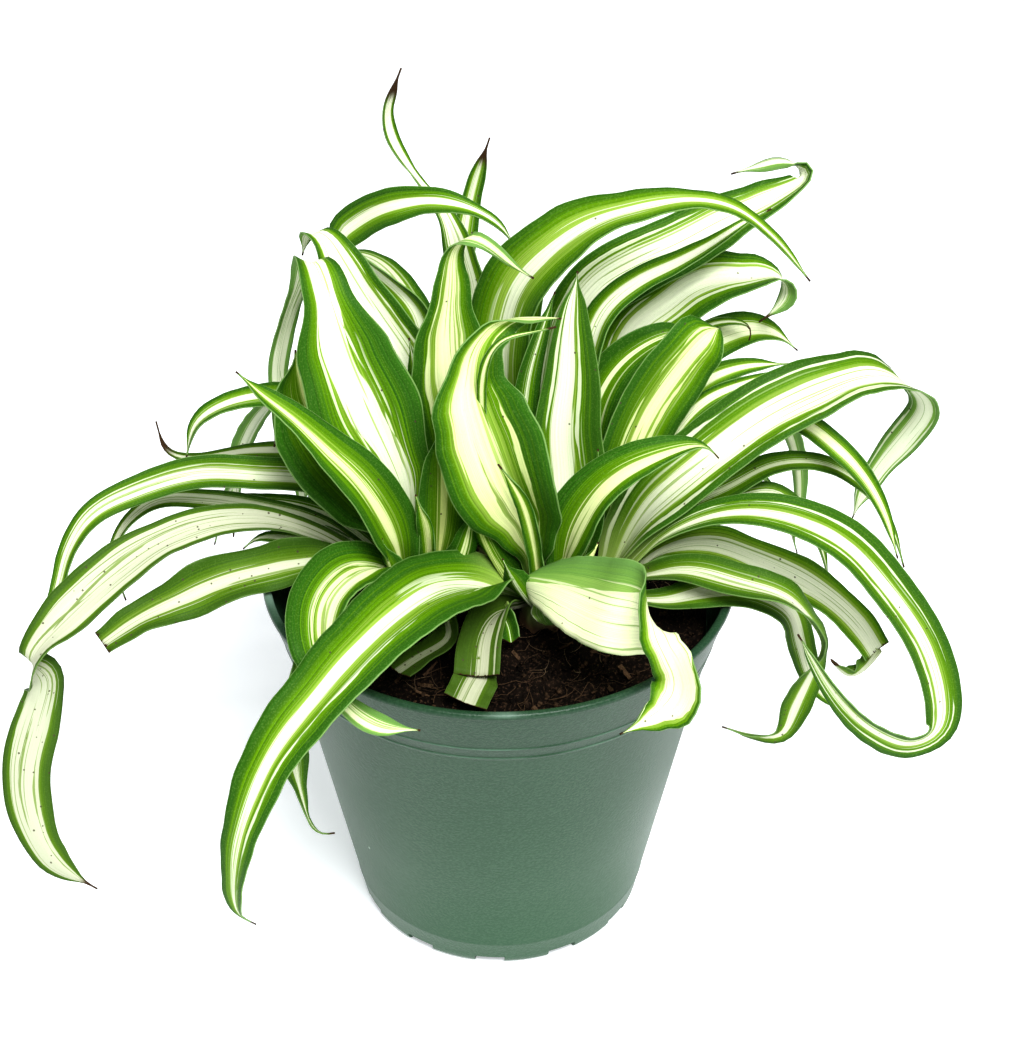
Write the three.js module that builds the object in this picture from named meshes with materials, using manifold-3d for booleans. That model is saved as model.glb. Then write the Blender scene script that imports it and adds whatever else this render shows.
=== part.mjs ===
// Variegated spider plant with curled leaves in a round nursery pot.
// Millimetres, +Z up. The pot's axis is the Z axis and its base rests on z = 0.
// The plant faces -Y: the longest front leaf arches over the rim on that side.
import * as THREE from 'three';
import { mergeVertices } from 'three/addons/utils/BufferGeometryUtils.js';
import Module from 'manifold-3d';

const wasm = await Module();
wasm.setup();

// Pot
const POT_HEIGHT = 98;
const RIM_RADIUS = 57;
const LIP_WIDTH = 2.0;
const LIP_DEPTH = 3.2;
const COLLAR_DEPTH = 16.5;
const COLLAR_RING_GAP = 3.4;
const RING_RELIEF = 0.35;
const COLLAR_FOOT_RADIUS = 52.2;
const SHOULDER_STEP = 0.7;
const BASE_RADIUS = 35.8;
const WALL = 1.3;
const FLOOR = 1.6;
const BASE_ROUND = 1.6;
const POT_SIDES = 48;
const SLOTS = 12;
const SLOT_WIDTH = 7.6;
const SLOT_HEIGHT = 2.6;
const SLOT_REACH = 3.4;
const SLOT_TURN = THREE.MathUtils.degToRad(-4);

// Soil
const GAP = 0.3;
const SOIL_TOP = 88;
const SOIL_SIDES = 40;
const SOIL_RINGS = 6;

// Crowns: short stem stubs that stand in plain round holes in the soil
const CROWN_FOOT = 76;
const CROWN_TOP = 101;
const CROWN_RADIUS = 6.5;
const CROWN_SIDES = 16;
const CROWNS = {
  a: [11, -8],
  b: [-20, -3],
  c: [27, 4],
  d: [0, 19],
};

// Leaves
const BLADE_THICKNESS = 0.8;
const STATION_SPACING = 10;

// A colour's look for the plain model
const POT_MATERIAL = new THREE.MeshStandardMaterial({ color: 0x587d66, roughness: 0.6, metalness: 0 });
const SOIL_MATERIAL = new THREE.MeshStandardMaterial({ color: 0x33211a, roughness: 1, metalness: 0 });
const CROWN_MATERIAL = new THREE.MeshStandardMaterial({ color: 0xc9d6a0, roughness: 0.6, metalness: 0 });
const LEAF_MATERIAL = new THREE.MeshStandardMaterial({ color: 0x6f9a45, roughness: 0.5, metalness: 0 });

// Every leaf: the crown it grows from, the bearing of its tip in degrees from +X, its full width,
// the roll of its face in degrees at even steps from root to tip, and the midrib's points.
// Optional: fold (trough angle, root to tip), wave (height, count, phase), taper (larger keeps
// the blade broad for longer), base (root width as a share), columns (points across), cut (blunt end).
// shape takes the place of taper and base: the width's shares at even steps from root to tip.
// spacing puts the rows of points closer where a leaf folds sharply.
const LEAVES = {
  leaf_front_curl: {
    crown: 'a', bearing: 90, width: 28, roll: [0, -8, -14, -10, 20, 30], fold: [50, 30, 16, 30, 40],
    wave: [1.4, 2.6, 0.4], shape: [0.2, 0.35, 0.65, 0.9, 1, 1, 0.85, 0.5, 0.3, 0.16, 0.06], columns: 5,
    points: [[9, -5, 97], [7, -9, 116], [2, -13, 132], [-2, -12, 144], [-5, -9, 154], [-4, -5, 162],
      [1, -2, 167], [7, -4, 169], [14, -8, 171]],
  },
  leaf_front_point: {
    crown: 'a', bearing: 20, width: 16, roll: [40, 30, 20, 10], taper: 2.2,
    points: [[14, -8, 96], [18, -13, 120], [25, -15, 133], [34, -15, 139], [47, -13, 141], [50, -14, 138]],
  },
  leaf_front_short: {
    crown: 'a', bearing: 135, width: 22,
    roll: [0, 30, 44, 48, 48, 48, 48, 50, 54, 60, 70, 80, 110, 180, 245, 272, 275, 272, 266, 262, 262],
    fold: [40, 12, 6, 4, 4, 4, 4, 4, 10, 14, 10], wave: [0.8, 2, 1.0],
    shape: [0.35, 0.45, 0.5, 0.6, 0.72, 0.8, 0.88, 0.93, 0.97, 1, 1, 0.95, 0.7, 0.3, 0.36, 0.64, 0.78, 0.62,
      0.34, 0.2, 0.06], columns: 5, spacing: 4,
    points: [[11, -12, 94], [7.6, -17, 102], [11.5, -22, 105.7], [18.7, -29, 108.6], [25.2, -36, 112.4],
      [31.1, -43, 116.3], [33.9, -47, 118.2], [35.8, -50, 116], [38.2, -54, 112.2], [39.4, -58, 107.8],
      [34.8, -61, 103.5], [26.7, -62, 97]],
  },
  leaf_front_arch: {
    crown: 'a', bearing: 225, width: 18, roll: [0, 0, -5, -10, -10], fold: [40, 14, 10, 10, 20],
    wave: [0.6, 2, 0], shape: [0.6, 1.2, 1.32, 1.22, 1.06, 0.88, 0.68, 0.5, 0.34, 0.06], columns: 5,
    points: [[6, -9, 94], [-7, -20, 106], [-17, -38, 116], [-28, -54, 116.5], [-38.3, -66, 111],
      [-47.5, -74, 102.5], [-53.5, -79, 91], [-57.5, -80, 76], [-58.3, -76, 56], [-55, -74, 51]],
  },
  leaf_heart_dark: {
    crown: 'a', bearing: 90, width: 6.5, taper: 3,
    points: [[16, -7, 95], [22, -6, 115], [23, -4, 134]],
  },
  leaf_left_point: {
    crown: 'b', bearing: 160, width: 13, roll: [-50, -30, -20, -10], taper: 2,
    points: [[-22, -7, 97], [-25, -13, 118], [-31, -16, 133], [-38, -18, 143], [-45, -18, 151],
      [-53, -16, 157], [-58, -14, 161]],
  },
  leaf_left_dark: {
    crown: 'b', bearing: 130, width: 21, roll: [-20, -10, 0], wave: [1, 2, 0],
    shape: [0.2, 0.6, 1, 1, 0.9, 0.6, 0.06], columns: 5,
    points: [[-20, 2, 98], [-34, 9, 114], [-43, 13, 125], [-48, 16, 137], [-48, 19, 147]],
  },
  leaf_left_broad: {
    crown: 'b', bearing: 110, width: 27, roll: [-20, -20, -10, 0, 0, 20], fold: [50, 24, 16, 20, 10, 10],
    wave: [1.3, 3.2, 0.5], shape: [0.16, 0.35, 0.75, 1, 0.82, 0.42, 0.26, 0.2, 0.18, 0.16, 0.06], columns: 5,
    points: [[-18, 0, 97], [-24, 0, 124], [-31, 3, 141], [-36, 7, 154], [-39, 10, 166], [-42, 16, 172],
      [-46, 26, 161], [-51, 31, 147], [-54, 32, 133], [-54, 31, 123], [-56, 31, 112]],
  },
  leaf_heart_broad: {
    crown: 'b', bearing: 90, width: 12, taper: 4, fold: [40, 20, 20],
    points: [[-15, -4, 97], [-13, -5, 119], [-13, -4, 130], [-14, -2, 139]],
  },
  leaf_front_left_curl: {
    crown: 'b', bearing: 215, width: 18, roll: [0, -5, -10, 0, 30, 40], wave: [0.8, 2, 0], taper: 2.4,
    base: 0.3, columns: 5,
    points: [[-19, -8, 98], [-28, -14, 107], [-35, -24, 113], [-40, -36, 113], [-39, -50, 110],
      [-34, -58, 104], [-26, -61, 99], [-17, -62, 98]],
  },
  leaf_left_cut: {
    crown: 'b', bearing: 190, width: 10.5, roll: [-10, -30, -40, -40], wave: [1.6, 3.4, 0], cut: true,
    points: [[-21, -5, 95], [-33, -4, 102], [-47, -6, 103], [-57, -8, 102], [-66, -11, 101], [-75, -15, 99],
      [-85, -19, 96], [-93, -23, 92]],
  },
  leaf_left_long: {
    crown: 'b', bearing: 180, width: 13, roll: [-20, -25, -30, -35, -35, -40, -45, -35, 60, 80, 80, 80, 80],
    wave: [0.6, 5, 0], shape: [0.4, 0.45, 0.5, 0.62, 0.8, 1, 1, 0.7, 0.85, 0.95, 0.9, 0.7, 0.06], columns: 5,
    spacing: 5,
    points: [[-24, -1, 91], [-38, 3, 101], [-53, 5, 107], [-67, 4, 108], [-81, 0, 105], [-92, -8, 101],
      [-104, -18, 94], [-109.5, -27, 90], [-107.5, -22, 80], [-110.5, -24, 69.5], [-114, -28, 57.5],
      [-113.5, -33, 47.5], [-108.5, -38, 37], [-97.5, -42, 31.5]],
  },
  leaf_left_high_arch: {
    crown: 'b', bearing: 180, width: 10.5, roll: [0, -30, -40, -60, -70], taper: 2.2,
    points: [[-22, 2, 93], [-34, 13, 106], [-46, 16, 112], [-58, 18, 112], [-73, 16, 114], [-87, 12, 112],
      [-98, 6, 109], [-104, 2, 101], [-107, -2, 92], [-114, -6, 78]],
  },
  leaf_left_hoop: {
    crown: 'b', bearing: 150, width: 7, roll: [0, -30, -40, -60], taper: 6,
    points: [[-20, 2, 97], [-36, 18, 122], [-50, 22, 132], [-59, 24, 131], [-68, 24, 128], [-74, 24, 123],
      [-77, 24, 113]],
  },
  leaf_left_dry_tip: {
    crown: 'b', bearing: 160, width: 7, roll: [0, -30, -40, -60], taper: 1.6,
    points: [[-19, 3, 98], [-37, 24, 112], [-60, 34, 109], [-78, 38, 104], [-84, 38, 106], [-86, 38, 115]],
  },
  leaf_left_shade_long: {
    crown: 'b', bearing: 170, width: 6, roll: [0, -30, -50, -70],
    points: [[-23, 1, 91], [-42, 13, 100], [-59, 20, 101], [-74, 24, 101], [-85, 22, 102],
      [-93, 18, 97], [-96, 14, 90], [-93, 10, 80]],
  },
  leaf_left_hanging: {
    crown: 'b', bearing: 235, width: 7, roll: [0, 0, -10, 40, 60],
    points: [[-21, -7, 95], [-34, -22, 102], [-43, -38, 103], [-47, -47, 94], [-46, -50, 76],
      [-45, -50, 67], [-38, -48, 55]],
  },
  leaf_upright_white: {
    crown: 'd', bearing: 100, width: 17, roll: [-10, -10, -10, -10, 0], wave: [0.8, 2, 0],
    shape: [0.3, 0.6, 0.9, 1, 1, 0.9, 0.7, 0.4, 0.1], columns: 5,
    points: [[-6, 16, 93], [-17, 18, 126], [-23, 21, 143], [-30, 24, 154], [-36, 27, 164], [-41, 31, 171],
      [-45, 35, 169], [-47, 38, 162]],
  },
  leaf_back_loop: {
    crown: 'd', bearing: 0, width: 8.6, roll: [90, 90, 90, 80, 60, 50, 50, 40, 30],
    shape: [0.3, 0.6, 0.9, 1, 1, 1, 1.05, 1.15, 1.05, 0.75, 0.35, 0.06],
    points: [[-5, 20, 97], [-17, 29, 127], [-20, 33, 150], [-38, 41, 165], [-35, 40, 168.5],
      [-29, 36, 174.5], [-23, 32, 178.5], [-16.5, 29, 181], [-11, 27, 181.5], [-5, 26, 180],
      [0.5, 27, 175.5], [4, 29, 168.5]],
  },
  leaf_centre_striped: {
    crown: 'd', bearing: 90, width: 22, roll: [0, 0, 10, 30, 30], wave: [0.8, 2, 0],
    shape: [0.2, 0.5, 0.9, 1, 1, 0.8, 0.45, 0.25, 0.15, 0.06], columns: 5,
    points: [[-2, 14, 96], [-9, 11, 130], [-12, 10, 153], [-11, 10, 169], [-10, 10, 179], [-6, 8, 183],
      [-1, 6, 181], [3, 4, 178], [8, 3, 175]],
  },
  leaf_tall_curl: {
    crown: 'd', bearing: 100, width: 14, roll: [0, 0, -10, -30, -20, 30, 20, 10],
    shape: [0.3, 0.6, 0.9, 1, 1, 0.85, 0.6, 0.32, 0.24, 0.28, 0.2, 0.05], columns: 5,
    points: [[-2, 23, 97], [-6, 31, 126], [-7, 38, 150], [-9, 42, 159], [-13, 48, 168], [-19, 54, 173],
      [-22.5, 58, 176], [-26, 60, 182], [-27, 60, 189], [-25, 58, 196], [-23, 56, 202]],
  },
  leaf_tall_narrow: {
    crown: 'd', bearing: 90, width: 6.5, shape: [0.4, 0.45, 0.5, 0.55, 0.8, 1, 0.7, 0.1],
    points: [[0, 24, 98], [-4, 39, 124], [-9, 51, 151], [-8, 54, 162], [-5.7, 55, 173], [-2.2, 53, 185.5]],
  },
  leaf_top_arch: {
    crown: 'd', bearing: 0, width: 18, roll: [90, 75, 60, 45, 28, 20, 30], wave: [0.6, 2, 0],
    shape: [0.3, 0.75, 1, 1, 1, 0.85, 0.55, 0.3, 0.18, 0.06], columns: 5,
    points: [[5, 17, 95], [1, 20, 133], [1, 20, 149], [4, 19, 163], [11, 16, 174], [21, 14, 183],
      [32, 12, 188], [43, 12, 190], [53, 14, 187], [63, 16, 178], [72, 18, 166]],
  },
  leaf_centre_tall: {
    crown: 'a', bearing: 90, width: 19, taper: 2.2, base: 0.2, fold: [40, 22, 16, 16], wave: [0.6, 2, 0],
    columns: 5,
    points: [[14, -4, 96], [17, 3, 119], [16, 5, 134], [17, 7, 146], [17, 9, 161], [18, 10, 173]],
  },
  leaf_centre_dark: {
    crown: 'a', bearing: 90, width: 8, taper: 3,
    points: [[10, -4, 98], [6, 5, 124], [7, 10, 144], [10, 12, 156], [13, 13, 166]],
  },
  leaf_right_broad: {
    crown: 'c', bearing: 80, width: 17.5, roll: [30, 20, 20, 10], wave: [0.6, 2, 0],
    shape: [0.25, 0.55, 0.85, 1, 1, 1, 0.85, 0.4], columns: 5,
    points: [[26, 7, 94], [29, 12, 115], [34, 14, 131], [40, 15, 142], [46, 16, 150], [50, 18, 153],
      [52, 22, 151]],
  },
  leaf_right_dark: {
    crown: 'c', bearing: 60, width: 15, roll: [20, 24, 30], taper: 3,
    points: [[25, 8, 97], [22, 21, 115], [24, 23, 130], [29, 25, 139], [36, 27, 144], [43, 28, 146],
      [50, 28, 141]],
  },
  leaf_top_right_white: {
    crown: 'd', bearing: 30, width: 17, roll: [40, 35, 40, 40, 40, 40, 40, 35, 25, 10, 0, 0, 0],
    shape: [0.3, 0.65, 0.95, 1, 1, 1, 1, 0.95, 0.9, 0.7, 0.45, 0.32, 0.06], columns: 5,
    spacing: 5,
    points: [[6, 22, 93], [15, 31, 125], [19, 34, 146], [24.3, 37, 153.6], [33.8, 38, 159.6],
      [43.3, 40, 163.4], [52.8, 42, 168.2], [62.3, 44, 172.3], [69, 46, 175], [73.8, 48, 177.4],
      [72.2, 52, 178.8], [67.6, 54, 179.2], [61.8, 55, 176.8], [56.2, 56, 174.5]],
  },
  leaf_top_right_narrow: {
    crown: 'd', bearing: 20, width: 11, roll: [50, 40, 30, 30], taper: 2,
    points: [[6, 18, 96], [18, 20, 130], [24.5, 22, 155.5], [33, 23, 163.5], [41.5, 24, 167.5],
      [49.5, 25, 172], [57.5, 26, 177.5], [63, 27, 180]],
  },
  leaf_right_curl: {
    crown: 'c', bearing: 30, width: 16.5, roll: [40, 30, 30, 30, 30, 30, 25, 10, 0, 0],
    shape: [0.3, 0.45, 0.62, 0.8, 0.92, 1, 1, 1, 0.85, 0.45, 0.06], columns: 5,
    points: [[27, 8, 96], [27, 27, 121], [33, 33, 143], [41.7, 35, 150], [46.4, 36, 153.9],
      [53.1, 37, 155.8], [59.2, 38, 155.8], [64.8, 39, 156], [68.9, 39, 154.7], [69.7, 39, 150.8],
      [67.4, 38, 147.2], [63.1, 37, 144.2]],
  },
  leaf_right_pale: {
    crown: 'c', bearing: 50, width: 12, roll: [40, 40, 40], taper: 6,
    points: [[30, 8, 97], [37, 28, 122], [49, 41, 134], [60, 44, 138], [68, 44, 137], [74, 44, 132]],
  },
  leaf_right_level: {
    crown: 'c', bearing: 30, width: 9, roll: [40, 40, 40],
    points: [[30, 8, 95], [38, 19, 121], [48, 24, 134], [58, 26, 138], [70, 26, 139]],
  },
  leaf_right_arch: {
    crown: 'c', bearing: 0, width: 21, roll: [50, 45, 40, 38, 20, -55, -75, -75],
    fold: [40, 20, 10, 10, 10],
    shape: [0.5, 0.78, 0.88, 0.85, 0.83, 0.8, 0.66, 0.42, 0.42, 0.42, 0.3, 0.06], columns: 5,
    points: [[27, 3, 94], [36, 2, 114], [47.5, 4, 125], [62, 8, 135.5], [76, 12, 141], [88, 16, 142.5],
      [97, 20, 137], [103, 24, 128], [100, 28, 117], [95, 30, 107], [91, 30, 98], [89, 29, 91]],
  },
  leaf_right_yellow: {
    crown: 'c', bearing: 0, width: 8, roll: [40, 30, 30, 60, 80],
    points: [[31, 7, 95], [44, 12, 116], [57, 15, 126], [70, 17, 129], [82, 14, 122], [88, 9, 117],
      [93, 5, 109], [96, 0, 100]],
  },
  leaf_right_low_arch: {
    crown: 'c', bearing: 0, width: 9, roll: [40, 40, 30, 30, 60], taper: 1.4,
    points: [[32, 5, 95], [43, 9, 107], [56, 12, 113], [67, 17, 116], [80, 20, 114], [90, 18, 108],
      [96, 12, 101], [99, 6, 93]],
  },
  leaf_right_sweep: {
    crown: 'c', bearing: 0, width: 11.5, roll: [20, 30, 40, 60, 75, 75, 70, 60], taper: 4, columns: 5,
    points: [[30, -1, 94], [39, -4, 109], [52, -7, 118], [65, -10, 120], [80, -12, 114], [93, -12, 99],
      [103, -12, 83], [108, -13, 68], [108, -14, 58], [101, -18, 57], [89, -24, 67], [79, -28, 81],
      [69, -30, 100]],
  },
  leaf_right_hidden: {
    crown: 'c', bearing: 10, width: 6, roll: [30, 30, 50, 60],
    points: [[31, 7, 91], [49, 14, 104], [61, 16, 108], [67, 16, 109], [74, 14, 104], [79, 10, 96],
      [81, 6, 88]],
  },
  leaf_right_torn: {
    crown: 'c', bearing: 0, width: 10.5, roll: [30, 30, 40, 45, 50], wave: [0.8, 3, 0], cut: true,
    columns: 5,
    points: [[31, 1, 92], [39, 1, 101], [50, 1, 103.5], [61, 1, 99.5], [72.5, 1, 93.4], [82, 0, 86.6],
      [88.6, -1, 79.7], [92.5, -3, 74]],
  },
  leaf_right_front: {
    crown: 'c', bearing: -15, width: 10, roll: [20, 30, 30, 20, 0, -20, -20], taper: 5,
    points: [[29, -1, 94], [37, -8, 101], [45, -12, 105], [56, -17, 105], [67, -20, 103], [74, -20, 95],
      [77, -18, 87], [75, -17, 79], [72, -17, 69], [69, -17, 59], [62, -18, 60], [54, -21, 65]],
  },
  leaf_right_under: {
    crown: 'c', bearing: -10, width: 10, roll: [20, 30, 40, 60, 60],
    points: [[27, -1, 92], [34, -10, 95], [41, -13, 97], [48, -14, 100], [58, -13, 100], [69, -11, 93],
      [73, -9, 81], [77, -7, 68], [86, -7, 57]],
  },
  leaf_back_middle: {
    crown: 'd', bearing: 90, width: 14, wave: [0.8, 3, 0], taper: 3, columns: 5,
    points: [[2, 25, 93], [4, 38, 110], [4, 58, 122], [3, 80, 116], [2, 97, 95], [2, 103, 68], [3, 101, 44]],
  },
  leaf_back_right: {
    crown: 'd', bearing: 60, width: 13, wave: [0.8, 3, 0], taper: 3, columns: 5,
    points: [[6, 23, 93], [17, 40, 112], [30, 57, 120], [43, 72, 112], [53, 82, 90], [55, 85, 64]],
  },
  leaf_back_left: {
    crown: 'd', bearing: 120, width: 13, wave: [0.8, 3, 1], taper: 3, columns: 5,
    points: [[-6, 22, 93], [-18, 38, 112], [-31, 54, 118], [-44, 68, 107], [-53, 76, 84], [-55, 77, 58]],
  },
  leaf_back_low_right: {
    crown: 'c', bearing: 50, width: 11, taper: 3,
    points: [[30, 8, 98], [43, 25, 112], [57, 42, 116], [70, 56, 108], [79, 66, 86], [82, 69, 60]],
  },
  leaf_back_low_left: {
    crown: 'b', bearing: 125, width: 11, taper: 3,
    points: [[-18, 2, 99], [-29, 24, 119], [-43, 42, 121], [-58, 56, 110], [-69, 64, 88], [-73, 66, 60]],
  },
  leaf_back_short: {
    crown: 'd', bearing: 80, width: 11, taper: 3,
    points: [[2, 23, 99], [4, 38, 128], [8, 52, 150], [12, 64, 155], [16, 76, 148]],
  },
  leaf_back_tuft_left: {
    crown: 'd', bearing: 120, width: 10, taper: 3,
    points: [[-4, 22, 99], [-17, 42, 134], [-28, 56, 148], [-39, 68, 146], [-48, 77, 134]],
  },
  leaf_back_tuft_right: {
    crown: 'd', bearing: 55, width: 10, taper: 3,
    points: [[4, 24, 97], [18, 44, 130], [32, 58, 145], [46, 70, 144], [56, 79, 130]],
  },
  leaf_back_under: {
    crown: 'd', bearing: 90, width: 9, taper: 3,
    points: [[1, 27, 94], [4, 46, 103], [6, 62, 102], [8, 74, 88], [9, 80, 66]],
  },
  leaf_back_far_left: {
    crown: 'd', bearing: 155, width: 9, taper: 3,
    points: [[-5, 21, 93], [-22, 28, 104], [-40, 37, 108], [-58, 45, 102], [-70, 50, 87], [-76, 51, 68]],
  },
  leaf_back_far_right: {
    crown: 'd', bearing: 25, width: 9, taper: 3,
    points: [[5, 21, 92], [24, 32, 102], [44, 40, 104], [61, 46, 98], [73, 49, 84], [79, 50, 66]],
  },
  leaf_back_fold_left: {
    crown: 'd', bearing: 110, width: 10, taper: 3,
    points: [[-3, 24, 92], [-9, 42, 103], [-16, 60, 104], [-22, 74, 92], [-25, 80, 68]],
  },
  leaf_back_fold_right: {
    crown: 'd', bearing: 70, width: 9, taper: 3,
    points: [[4, 24, 92], [14, 42, 102], [21, 58, 103], [28, 70, 92], [32, 76, 70]],
  },
};

// Young leaves in the heart of a crown and trimmed old leaves at its foot stay one with the crown.
const CROWN_LEAVES = {
  a: [
    { bearing: 90, width: 5, points: [[10, -10, 98], [7, -16, 122], [4, -19, 133], [0, -21, 141]] },
    { bearing: 90, width: 6, points: [[13, -8, 95], [18, -9, 112], [21, -10, 121]] },
    { bearing: 260, width: 10, cut: true,
      points: [[7, -11, 94], [-3, -21, 97], [-4, -29, 95], [-5, -36, 92]] },
  ],
  b: [
    { bearing: 90, width: 5.5, points: [[-17, -6, 96], [-17, -12, 117], [-19, -14, 128]] },
    { bearing: 250, width: 6.5, cut: true,
      points: [[-17, -6, 95], [-15, -18, 95], [-17, -30, 93], [-23, -38, 92]] },
  ],
  c: [],
  d: [],
};

function toManifold(geometry) {
  const plain = geometry.clone();
  plain.deleteAttribute('normal');
  plain.deleteAttribute('uv');
  const merged = mergeVertices(plain, 1e-4);
  const mesh = new wasm.Mesh({
    numProp: 3,
    vertProperties: new Float32Array(merged.attributes.position.array),
    triVerts: new Uint32Array(merged.index.array),
  });
  return new wasm.Manifold(mesh);
}

function solidFrom(positions, index) {
  const geometry = new THREE.BufferGeometry();
  geometry.setAttribute('position', new THREE.Float32BufferAttribute(positions, 3));
  geometry.setIndex(index);
  return toManifold(geometry);
}

function toGeometry(manifold) {
  const mesh = manifold.getMesh();
  const geometry = new THREE.BufferGeometry();
  geometry.setAttribute('position', new THREE.BufferAttribute(mesh.vertProperties, 3));
  geometry.setIndex(new THREE.BufferAttribute(mesh.triVerts, 1));
  const faceted = geometry.toNonIndexed();
  faceted.computeVertexNormals();
  return faceted;
}

// A closed profile of [radius, height] pairs turned about Z
function turned(profile, sides) {
  const points = profile.map(([radius, height]) => new THREE.Vector2(radius, height));
  points.push(points[0].clone());
  const geometry = new THREE.LatheGeometry(points, sides);
  geometry.rotateX(Math.PI / 2);
  return geometry;
}

function ease(value) {
  const t = THREE.MathUtils.clamp(value, 0, 1);
  return t * t * (3 - 2 * t);
}

// A value read smoothly between evenly spaced keys, for share 0 to 1
function keyed(keys, share) {
  const place = THREE.MathUtils.clamp(share, 0, 1) * (keys.length - 1);
  const index = Math.min(Math.floor(place), keys.length - 2);
  return THREE.MathUtils.lerp(keys[index], keys[index + 1], ease(place - index));
}

function halfWidth(leaf, share) {
  if (leaf.shape) return Math.max(leaf.width * keyed(leaf.shape, share), 1.2) / 2;
  const base = leaf.base ?? 0.4;
  const swell = base + (1 - base) * ease(share / 0.35);
  const tip = leaf.cut ? 1 : Math.pow(Math.max(0, 1 - Math.pow(share, leaf.taper ?? 3)), 0.8);
  return Math.max(leaf.width * swell * tip, 1.2) / 2;
}

// The middle surface of a leaf: rows of points from root to tip, each row from edge to edge
function bladeRows(leaf, grow) {
  const curve = new THREE.CatmullRomCurve3(
    leaf.points.map((point) => new THREE.Vector3(...point)), false, 'centripetal');
  const steps = Math.max(6, Math.round(curve.getLength() / (leaf.spacing ?? STATION_SPACING)));
  const columns = leaf.columns ?? 3;
  const bearing = THREE.MathUtils.degToRad(leaf.bearing);
  const level = new THREE.Vector3(Math.sin(bearing), -Math.cos(bearing), 0);
  const [waveHeight, waveCount, wavePhase] = leaf.wave ?? [0.5, 2.5, 0];
  const rows = [];
  for (let step = 0; step <= steps; step += 1) {
    const share = step / steps;
    const centre = curve.getPointAt(share);
    const along = curve.getTangentAt(share);
    const across = level.clone().addScaledVector(along, -level.dot(along)).normalize();
    across.applyAxisAngle(along, THREE.MathUtils.degToRad(keyed(leaf.roll ?? [0, 0], share)));
    const normal = across.clone().cross(along);
    const half = halfWidth(leaf, share) + grow;
    const fold = THREE.MathUtils.degToRad(keyed(leaf.fold ?? [45, 24, 16, 16], share));
    const calm = ease(share / 0.3) * ease((1 - share) / 0.25);
    const row = [];
    for (let column = 0; column < columns; column += 1) {
      const side = (2 * column) / (columns - 1) - 1;
      const turn = wavePhase + (side > 0 ? 0 : 1.9);
      const ripple = waveHeight * side * side * Math.sin(2 * Math.PI * waveCount * share + turn) * calm;
      const rise = half * Math.abs(side) * Math.sin(fold) + ripple;
      row.push(centre.clone()
        .addScaledVector(across, half * side * Math.cos(fold))
        .addScaledVector(normal, rise));
    }
    rows.push(row);
  }
  return rows;
}

// A closed thin blade: both faces are split into triangles alike
function blade(leaf, grow = 0) {
  const rows = bladeRows(leaf, grow);
  const last = rows.length - 1;
  const columns = rows[0].length;
  const positions = [];
  const index = [];
  const reach = BLADE_THICKNESS / 2 + grow;
  for (const face of [1, -1]) {
    rows.forEach((row, step) => {
      row.forEach((point, column) => {
        const across = row[Math.min(column + 1, columns - 1)].clone().sub(row[Math.max(column - 1, 0)]);
        const along = rows[Math.min(step + 1, last)][column].clone()
          .sub(rows[Math.max(step - 1, 0)][column]);
        const normal = across.cross(along).normalize();
        positions.push(...point.clone().addScaledVector(normal, face * reach).toArray());
      });
    });
  }
  const under = rows.length * columns;
  const at = (step, column) => step * columns + column;
  for (let step = 0; step < last; step += 1) {
    for (let column = 0; column < columns - 1; column += 1) {
      const corner = [at(step, column), at(step, column + 1), at(step + 1, column + 1), at(step + 1, column)];
      for (const [a, b, c] of [[0, 1, 2], [0, 2, 3]]) {
        index.push(corner[a], corner[b], corner[c]);
        index.push(under + corner[a], under + corner[c], under + corner[b]);
      }
    }
  }
  const loop = [];
  for (let column = 0; column < columns - 1; column += 1) loop.push(at(0, column));
  for (let step = 0; step < last; step += 1) loop.push(at(step, columns - 1));
  for (let column = columns - 1; column > 0; column -= 1) loop.push(at(last, column));
  for (let step = last; step > 0; step -= 1) loop.push(at(step, 0));
  loop.forEach((from, place) => {
    const to = loop[(place + 1) % loop.length];
    index.push(from, under + from, under + to, from, under + to, to);
  });
  return solidFrom(positions, index);
}

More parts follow.
